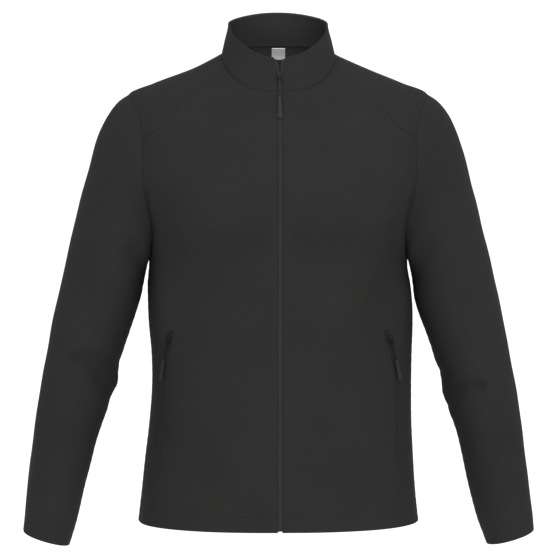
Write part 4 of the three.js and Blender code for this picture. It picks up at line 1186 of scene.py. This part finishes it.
stitches = {}
for side in SIDES:
    _, outer, normals = panels[f"front_{side}"]
    left, _, low, _ = edge_distances(outer)
    rows = [stitch_down(outer, normals, low, at) for at in HEM_STITCHES]
    rows.append(stitch_across(outer, normals, left, ZIP_STITCH))
    stitches[f"front_{side}"] = make_stitches(f"stitches_front_{side}", rows)
    _, outer, normals = sleeves[side]
    rows = [stitch_round(outer[::-1], normals[::-1], cuff_away[::-1], at) for at in HEM_STITCHES]
    stitches[f"sleeve_{side}"] = make_stitches(f"stitches_cuff_{side}", rows)
_, outer, normals = panels["back"]
rows = [stitch_down(outer, normals, edge_distances(outer)[2], at) for at in HEM_STITCHES]
stitches["back"] = make_stitches("stitches_hem_back", rows)
rows = [stitch_down(collar_outer[::-1], collar_normals[::-1], high_away[::-1], RIM_STITCH)]
for away, step in ((left_away, 1), (right_away, -1)):
    inside = (slice(1, -1), slice(None, None, step))
    rows.append(stitch_across(collar_outer[inside], collar_normals[inside], away[inside], ZIP_STITCH))
stitches["collar"] = make_stitches("stitches_collar", rows)


# Strips: zip tapes, guard, pocket zips and the label
X_AXIS = np.array([1.0, 0, 0])
# A tooth's rings, from its head to its foot: distance from the middle, thickness and height
TOOTH_RINGS = [(-0.7, 0.7, 0.7), (0.1, 1.12, 0.85), (0.8, 1.12, 0.85), (1.2, 1.12, 1.5), (3.0, 0.9, 1.45)]
TOOTH_OUTLINE = [(-0.35, 0.55), (0.35, 0.55), (0.55, 0.0), (0.35, -0.55), (-0.35, -0.55), (-0.55, 0.0)]
TOOTH_DEPTH, TOOTH_PITCH, TOOTH_START = 0.72, 2.0, 0.8
TAPE_OUTLINE = [(0.3, 1.9), (2.7, 1.9), (2.9, 3.05), (10.9, 3.05), (11.0, 3.5), (10.9, 3.85), (0.3, 3.85)]
LIP_OUTLINE = [(-3.2, -0.1), (-3.0, -0.95), (-2.2, -1.35), (-0.9, -1.2), (-0.35, -0.45), (0.35, -0.45),
               (0.9, -1.2), (2.2, -1.35), (3.0, -0.95), (3.2, -0.1)]


def centre_stations(top_share):
    """Points up the centre front, their outward direction and how far the open edges stand apart."""
    rings = np.linspace(HEM + ZIP_END, NECKLINE, 150)
    parts = np.linspace(0, top_share, 26)[1:]
    points = np.vstack([body_form(np.zeros(150), rings), collar_form(np.zeros(25), parts)])
    ways = np.vstack([body_normal(np.full(150, 0.001), rings), collar_normal(np.full(25, 0.001), parts)])
    return points, unit(ways * [0, 1, 1]), open_spread(points[:, 2])


def make_strip(name, points, ways, across, outline, spread, material):
    """A closed strip: an outline of [across, depth] corners carried along stations."""
    outline = np.asarray(outline, float)
    rows, count = len(points), len(outline)
    wide = outline[None, :, 0] + np.sign(outline[None, :, 0]) * np.broadcast_to(spread, rows)[:, None]
    across = np.broadcast_to(across, points.shape)
    grid = points[:, None] - ways[:, None] * outline[None, :, 1, None] + across[:, None] * wide[..., None]
    faces = grid_quads(rows, count, True).tolist()
    faces.append(list(range(count)))
    faces.append([(rows - 1) * count + k for k in range(count)][::-1])
    flat = grid.reshape(-1, 3)
    fans = np.array([(face[0], face[k], face[k + 1]) for face in faces for k in range(1, len(face) - 1)])
    if (flat[fans[:, 0]] * np.cross(flat[fans[:, 1]], flat[fans[:, 2]])).sum() < 0:
        faces = [face[::-1] for face in faces]
    made = finished(name, flat, faces, [material])
    corner = corner_points(made.data)
    lay_map(made.data, lengths_along(outline)[corner % count], lengths_along(points)[corner // count])
    give_values(made.data, "raised", np.zeros(len(flat)))
    return made


def make_teeth(name, points, ways, spread, sign, first):
    """Moulded teeth of one zip half: small rounded lozenges, one body of many."""
    along = lengths_along(points)
    corners, faces = [], []
    for start in np.arange(first, along[-1] - 1.2, TOOTH_PITCH):
        middle = read_at(start, along, points)
        way = unit(read_at(start, along, ways))
        apart = np.interp(start, along, spread)
        up = np.cross(way, X_AXIS)
        base = len(corners)
        for reach, thick, tall in TOOTH_RINGS:
            side_step = X_AXIS * sign * (reach + apart)
            for deep, high in TOOTH_OUTLINE:
                corners.append(middle + side_step - way * (TOOTH_DEPTH - deep * thick) + up * high * tall)
        tooth = grid_quads(len(TOOTH_RINGS), 6, True, base).tolist()
        last = base + 6 * (len(TOOTH_RINGS) - 1)
        tooth += [list(range(base, base + 6))[::-1], list(range(last, last + 6))]
        faces += tooth if sign < 0 else [face[::-1] for face in tooth]
    return finished(name, corners, faces, [teeth_finish])


zip_points, zip_ways, zip_spread = centre_stations(ZIP_TOP)
zips = {}
for side, sign in SIDES.items():
    outline = [(x * sign, deep) for x, deep in TAPE_OUTLINE]
    first = TOOTH_START + (TOOTH_PITCH / 2 if sign > 0 else 0)
    zips[side] = (
        make_strip(f"zip_tape_{side}", zip_points, zip_ways, X_AXIS, outline, zip_spread, zip_tape),
        make_teeth(f"zip_teeth_{side}", zip_points, zip_ways, zip_spread, sign, first),
    )

guard_left, guard_right, guard_front, guard_back, guard_top = GUARD
guard_points, guard_ways, _ = centre_stations(guard_top)
guard_middle, edge = (guard_front + guard_back) / 2, 0.4
outline = [(guard_left + edge, guard_front), (guard_right - edge, guard_front), (guard_right, guard_middle),
           (guard_right - edge, guard_back), (guard_left + edge, guard_back), (guard_left, guard_middle)]
guard = make_strip("zip_guard_cloth", guard_points, guard_ways, X_AXIS, outline, 0, guard_cloth)


def pocket_line(sign, count):
    """Stations down the pocket zip: points, outward directions, and the ways up and across."""
    line = np.array(POCKET_LINE) - [sign * POCKET_SHIFT, 0]
    places = spaced(seen(line), np.linspace(0, 1, count + 1))
    turn, ring = places[:, 0] * sign, places[:, 1]
    points, ways = body_form(turn, ring), body_normal(turn, ring)
    index = np.arange(len(points))
    ahead = points[np.minimum(index + 1, len(points) - 1)] - points[np.maximum(index - 1, 0)]
    up = -unit(ahead - ways * (ahead * ways).sum(-1, keepdims=True))
    return points, ways, up, unit(np.cross(up, ways))


def make_pocket(side, sign):
    """The lips over the pocket zip, and the stitches all round them."""
    points, ways, up, across = pocket_line(sign, 60)

    def raised(line):
        return body_relief(line, *nearest_seam(line, seam_keys(side, FRONT_SEAMS)))[:, None]

    lips = make_strip(f"pocket_zip_{side}_tape", points + ways * raised(points), ways, across, LIP_OUTLINE, 0,
                      welt_cloth)
    rows = []
    for off in (-POCKET_STITCH, POCKET_STITCH):
        line = points + across * off
        rows.append(stitch_row(line + ways * (raised(line) + 0.05), ways))
    widths = np.linspace(-POCKET_STITCH, POCKET_STITCH, 8)
    for end, beyond in ((0, 3), (-1, -3)):
        line = points[end] + np.outer(widths, across[end]) + up[end] * beyond
        rows.append(stitch_row(line + ways[end] * (raised(line) + 0.05), np.tile(ways[end], (8, 1))))
    return lips, make_stitches(f"stitches_pocket_{side}", rows)


pockets = {side: make_pocket(side, sign) for side, sign in SIDES.items()}

# Neck label: a small blank rectangle of satin ribbon with rounded lower corners
LABEL_GRID = (15, 17)
LABEL_MIDDLE, LABEL_TOP, LABEL_HALF, LABEL_CORNER = 2, 10.6, 10, 3
LABEL_FRONT, LABEL_BACK = 3.0, 3.7
label_down = np.linspace(1.0, 19.0, LABEL_GRID[0])
rounded = np.maximum(0, label_down - 16)
label_half = LABEL_HALF - LABEL_CORNER + np.sqrt(np.maximum(LABEL_CORNER ** 2 - rounded ** 2, 0))
label_x = (LABEL_MIDDLE + label_half[:, None] * np.linspace(-1, 1, LABEL_GRID[1])[None]).reshape(-1)
label_z = np.repeat(LABEL_TOP - label_down, LABEL_GRID[1])
label_turn, label_ring = seen(np.column_stack([np.maximum(np.abs(label_x), 0.01), label_z]), True).T
label_turn = np.where(label_x < 0, 2 * np.pi - label_turn, label_turn)
label_points = body_form(label_turn, label_ring).reshape(*LABEL_GRID, 3)
label_ways = body_normal(label_turn, label_ring).reshape(*LABEL_GRID, 3)
curl = 0.5 * np.sin(np.linspace(0, np.pi, LABEL_GRID[1]))[None] * (label_down / 20)[:, None]
label = make_shell("neck_label_ribbon", label_points - label_ways * (LABEL_FRONT + curl)[..., None],
                   label_points - label_ways * (LABEL_BACK + curl)[..., None], False,
                   {"raised": np.zeros(LABEL_GRID)}, [label_cloth])
label_line = label_points[1] - label_ways[1] * (LABEL_BACK + 0.05 + curl[1])[:, None]
label_stitches = make_stitches("stitches_label", [stitch_row(label_line, -label_ways[1])])


# Slider, pull and grip: modelled once, flat, in millimetres. X is the hinge, Y runs up the zip, and Z
# out of the cloth.
SLIDER_BLOCK, SLIDER_PLACE = (8.4, 12.5, 2.2), (0, 2.75, 1.4)
CHEEK_BLOCK, CHEEK_X, CHEEK_Y, CHEEK_Z = (1.0, 6.2, 4.0), 2.0, 1.1, 4.1
PIN_RADIUS, PIN_LENGTH = 0.8, 4.6
EYE_RADIUS, EYE_WIRE = 1.62, 0.42
STEM_BLOCK, STEM_PLACE = (2.2, 27.4, 1.5), (0, -15.5, 0)
GRIP_WIDTH, GRIP_LENGTH, GRIP_THICK, GRIP_PLACE = 6.2, 32.6, 2.6, -45.6


def start_from_nothing():
    bpy.ops.object.select_all(action="DESELECT")
    bpy.context.view_layer.objects.active = None


def take(made):
    start_from_nothing()
    made.select_set(True)
    bpy.context.view_layer.objects.active = made


def new_block(size, centre):
    start_from_nothing()
    bpy.ops.mesh.primitive_cube_add(size=1, location=centre, scale=size)
    bpy.ops.object.transform_apply(location=True, rotation=True, scale=True)
    return bpy.context.object


def move_points(made, change):
    """Moves each point of a mesh to where change(x, y, z) says."""
    for vertex in made.data.vertices:
        vertex.co = change(*vertex.co)
    made.data.update()


def round_edges(made, width, segments, limit=30):
    take(made)
    bevel = made.modifiers.new("rounding", "BEVEL")
    bevel.width = width
    bevel.segments = segments
    bevel.limit_method = "ANGLE"
    bevel.angle_limit = math.radians(limit)
    bpy.ops.object.modifier_apply(modifier=bevel.name)


def select_faces(made, wanted):
    """Edit mode with only the faces whose centre and normal are wanted."""
    take(made)
    bpy.ops.object.mode_set(mode="EDIT")
    bpy.ops.mesh.select_mode(type="FACE")
    bpy.ops.mesh.select_all(action="DESELECT")
    bpy.ops.object.mode_set(mode="OBJECT")
    for face in made.data.polygons:
        face.select = wanted(face.center, face.normal)
    bpy.ops.object.mode_set(mode="EDIT")


def divide(made, cuts):
    """Cuts every edge of a block, so that it can be shaped."""
    select_faces(made, lambda centre, normal: True)
    bpy.ops.mesh.subdivide(number_cuts=cuts)
    bpy.ops.object.mode_set(mode="OBJECT")


def turned_sideways():
    """The new piece, with its turn to the hinge's direction applied."""
    bpy.ops.object.transform_apply(location=True, rotation=True, scale=True)
    return bpy.context.object


def join_into(made, *others):
    take(made)
    for other in others:
        other.select_set(True)
    bpy.ops.object.join()
    return made


def model_slider():
    body = new_block(SLIDER_BLOCK, SLIDER_PLACE)
    divide(body, 3)

    def narrowed(x, y, z):
        """Narrower towards its lower end, with a rounded upper edge."""
        share = float(smooth((y + 3.5) / 8.0))
        return x * (0.76 + 0.24 * share), y - 0.9 * (abs(x) / 4.2) ** 2 * (y > 8.9), z

    move_points(body, narrowed)
    round_edges(body, 0.55, 3)
    select_faces(body, lambda centre, normal: normal.z > 0.9 and centre.z > 2.4 and abs(centre.y - 4.2) < 2.4)
    bpy.ops.mesh.inset(thickness=0.5)
    bpy.ops.transform.translate(value=(0, 0, -0.3))
    bpy.ops.object.mode_set(mode="OBJECT")
    cheeks = []
    for x in (-CHEEK_X, CHEEK_X):
        cheek = new_block(CHEEK_BLOCK, (x, CHEEK_Y, CHEEK_Z))
        move_points(cheek, lambda a, y, z: (a, y * 0.42 if z > 5 else y, z))
        round_edges(cheek, 0.3, 2)
        cheeks.append(cheek)
    start_from_nothing()
    bpy.ops.mesh.primitive_cylinder_add(vertices=16, radius=PIN_RADIUS, depth=PIN_LENGTH,
                                        location=(0, 0, PIN_HEIGHT), rotation=(0, QUARTER, 0))
    pin = turned_sideways()
    round_edges(pin, 0.2, 2)
    return join_into(body, *cheeks, pin)


def model_pull():
    start_from_nothing()
    bpy.ops.mesh.primitive_torus_add(major_radius=EYE_RADIUS, minor_radius=EYE_WIRE, major_segments=24,
                                     minor_segments=10, rotation=(0, QUARTER, 0))
    eye = turned_sideways()
    move_points(eye, lambda x, y, z: (x * 2.4, y, z))
    stem = new_block(STEM_BLOCK, STEM_PLACE)
    divide(stem, 4)

    def waisted(x, y, z):
        share = min(max((-y - 2) / 27, 0), 1)
        return x * (1 - 0.16 * math.sin(math.pi * share)), y, z

    move_points(stem, waisted)
    round_edges(stem, 0.28, 2)
    return join_into(eye, stem)


def model_grip():
    grip = new_block((GRIP_WIDTH, GRIP_LENGTH, GRIP_THICK), (0, GRIP_PLACE, 0))
    divide(grip, 11)

    def shaped(x, y, z):
        """A ribbed grip that swells to a rounded knob at its lower end."""
        down = (GRIP_PLACE + GRIP_LENGTH / 2 - y) / GRIP_LENGTH
        knob = math.exp(-(((down - 0.88) / 0.1) ** 2))
        width = 0.86 + 0.12 * down + 0.42 * knob
        end = math.sqrt(max(0.0, 1 - max(0.0, (down - 0.88) / 0.125) ** 2))
        top = math.sqrt(max(0.04, 1 - max(0.0, (0.05 - down) / 0.055) ** 2))
        ribs = 0.10 * math.sin(2 * math.pi * down * 6) if 0.15 < down < 0.7 else 0
        thick = (0.86 + ribs + 0.3 * knob) * (0.45 + 0.55 * end)
        return x * width * (0.3 + 0.7 * end) * top, y, z * thick * (1 - 0.25 * (2 * x / GRIP_WIDTH) ** 2)

    move_points(grip, shaped)
    round_edges(grip, 0.35, 2, 50)
    return grip


def seat_matrix(point, way, up, across, lift, lean):
    """From a flat fitting to its seat on the cloth, lifted off it and leaning from the zip."""
    seat = Matrix((
        (across[0], up[0], way[0], point[0]),
        (across[1], up[1], way[1], point[1]),
        (across[2], up[2], way[2], point[2]),
        (0, 0, 0, 1),
    ))
    hung = Matrix.Translation((0, 0, lift)) @ Matrix.Rotation(math.radians(lean), 4, "X")
    return Matrix.Scale(MM, 4) @ seat @ hung


def copy_to(name, made, place, material):
    mesh = made.data.copy()
    mesh.name = name
    mesh.materials.clear()
    mesh.materials.append(material)
    mesh.transform(place)
    mesh.shade_smooth()
    copied = bpy.data.objects.new(name, mesh)
    bpy.context.scene.collection.objects.link(copied)
    take(copied)
    bpy.ops.object.shade_smooth_by_angle(angle=math.radians(38))
    return copied


front_share = np.array([SLIDER_SHARE])
front_point = collar_form(np.array([0.0]), front_share)[0]
front_way = unit(collar_normal(np.array([0.001]), front_share)[0] * [0, 1, 1])
seats = {"front": (front_point, front_way, np.cross(front_way, X_AXIS), X_AXIS, FRONT_LEAN)}
for side, sign in SIDES.items():
    points, ways, _, _ = pocket_line(sign, POCKET_STEPS)
    chord = points[0] - points[HANG_STEP]
    chord = unit(chord - ways[1] * (chord @ ways[1]))
    point = points[1] + ways[1] * POCKET_LIFT
    seats[f"pocket_{side}"] = (point, ways[1], chord, np.cross(chord, ways[1]), POCKET_LEAN)

flat_slider, flat_pull, flat_grip = model_slider(), model_pull(), model_grip()
fittings = {}
for name, (point, way, up, across, lean) in seats.items():
    fixed = seat_matrix(point, way, up, across, 0, 0)
    hung = seat_matrix(point, way, up, across, PIN_HEIGHT, lean)
    fittings[name] = (
        copy_to(f"{name}_slider_metal", flat_slider, fixed, metal_finish),
        copy_to(f"{name}_pull_metal", flat_pull, hung, metal_finish),
        copy_to(f"{name}_grip_moulded", flat_grip, hung, grip_finish),
    )
for flat in (flat_slider, flat_pull, flat_grip):
    bpy.data.objects.remove(flat)


# What each piece rides on and stands for
def settle(made, body, slot, *nodes):
    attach(made, body)
    if nodes:
        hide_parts(*nodes)


for side in SIDES:
    lips, sewn = pockets[side]
    settle(lips, "jacket", "zip", f"pocket_zip_{side}")
    settle(sewn, "jacket", "shell")
    for name, others in ((f"front_{side}", [sewn]), (f"yoke_{side}", [])):
        made, outer, _ = panels[name]
        settle(made, "jacket", "shell", name)
    made, outer, _ = sleeves[side]
    settle(made, "jacket", "shell", f"sleeve_{side}")
    tape, teeth = zips[side]
    settle(tape, "jacket", "zip", f"zip_{side}")
    settle(teeth, "jacket", "zip")
made, outer, _ = panels["back"]
settle(made, "jacket", "shell", "back")
settle(collar, "jacket", "shell", "collar")
for sewn in stitches.values():
    settle(sewn, "jacket", "shell")
settle(guard, "jacket", "shell", "zip_guard")
settle(label, "jacket", "label", "neck_label")
settle(label_stitches, "jacket", "label")
for name, (slider, pull, grip) in fittings.items():
    body = f"{name}_pull_body"
    settle(slider, "jacket", "fitting", f"{name}_slider")
    settle(pull, body, "fitting", f"{name}_pull")
    settle(grip, body, "grip", f"{name}_grip")

# Floor, light and camera
FLOOR_HEIGHT = -1.46
CAMERA_AWAY, CAMERA_LENS = 6.0, 264.7
CAMERA_TURN, CAMERA_RISE = math.radians(-1.3), math.radians(5)


def placed(name, data):
    made = bpy.data.objects.new(name, data)
    bpy.context.scene.collection.objects.link(made)
    return made


def look(made, way):
    made.rotation_euler = Vector(way).to_track_quat("-Z", "Y").to_euler()


start_from_nothing()
bpy.ops.mesh.primitive_circle_add(vertices=96, radius=160, fill_type="NGON", location=(0, 0, FLOOR_HEIGHT))
floor = bpy.context.object
floor.name = "pale_floor"
floor_material, _, shader = new_material("pale_floor", 0.9, 0.1)
shader.inputs["Base Color"].default_value = (0.93, 0.93, 0.93, 1)
floor.data.materials.append(floor_material)
floor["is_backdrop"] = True

world = bpy.data.worlds.new("studio")
bpy.context.scene.world = world
world.use_nodes = True
world.node_tree.nodes["Background"].inputs[0].default_value = (1, 1, 1, 1)
world.node_tree.nodes["Background"].inputs[1].default_value = 0.9

sun_light = bpy.data.lights.new("daylight", "SUN")
sun_light.energy = 1.6
sun_light.angle = math.radians(60)
sun = placed("daylight", sun_light)
sun.rotation_euler = (math.radians(38), math.radians(10), 0)
sun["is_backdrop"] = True

panel_light = bpy.data.lights.new("front_panel", "AREA")
panel_light.shape = "SQUARE"
panel_light.size = 2.2
panel_light.energy = 41
panel = placed("front_panel", panel_light)
panel.location = (0.4, -3.8, 1.3)
look(panel, Vector((0, 0, -0.3)) - panel.location)
panel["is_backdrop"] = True

target = Vector((-0.001, 0, -0.327))
back = Vector((math.sin(CAMERA_TURN) * math.cos(CAMERA_RISE), -math.cos(CAMERA_TURN) * math.cos(CAMERA_RISE),
               math.sin(CAMERA_RISE)))
camera_data = bpy.data.cameras.new("camera")
camera_data.lens = CAMERA_LENS
camera_data.sensor_width = 36
camera_data.clip_start = 0.1
camera_data.clip_end = 400
camera = placed("camera", camera_data)
camera.location = target + back * CAMERA_AWAY
look(camera, -back)
bpy.context.scene.camera = camera
bpy.context.scene.view_settings.view_transform = "Standard"

low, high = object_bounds()
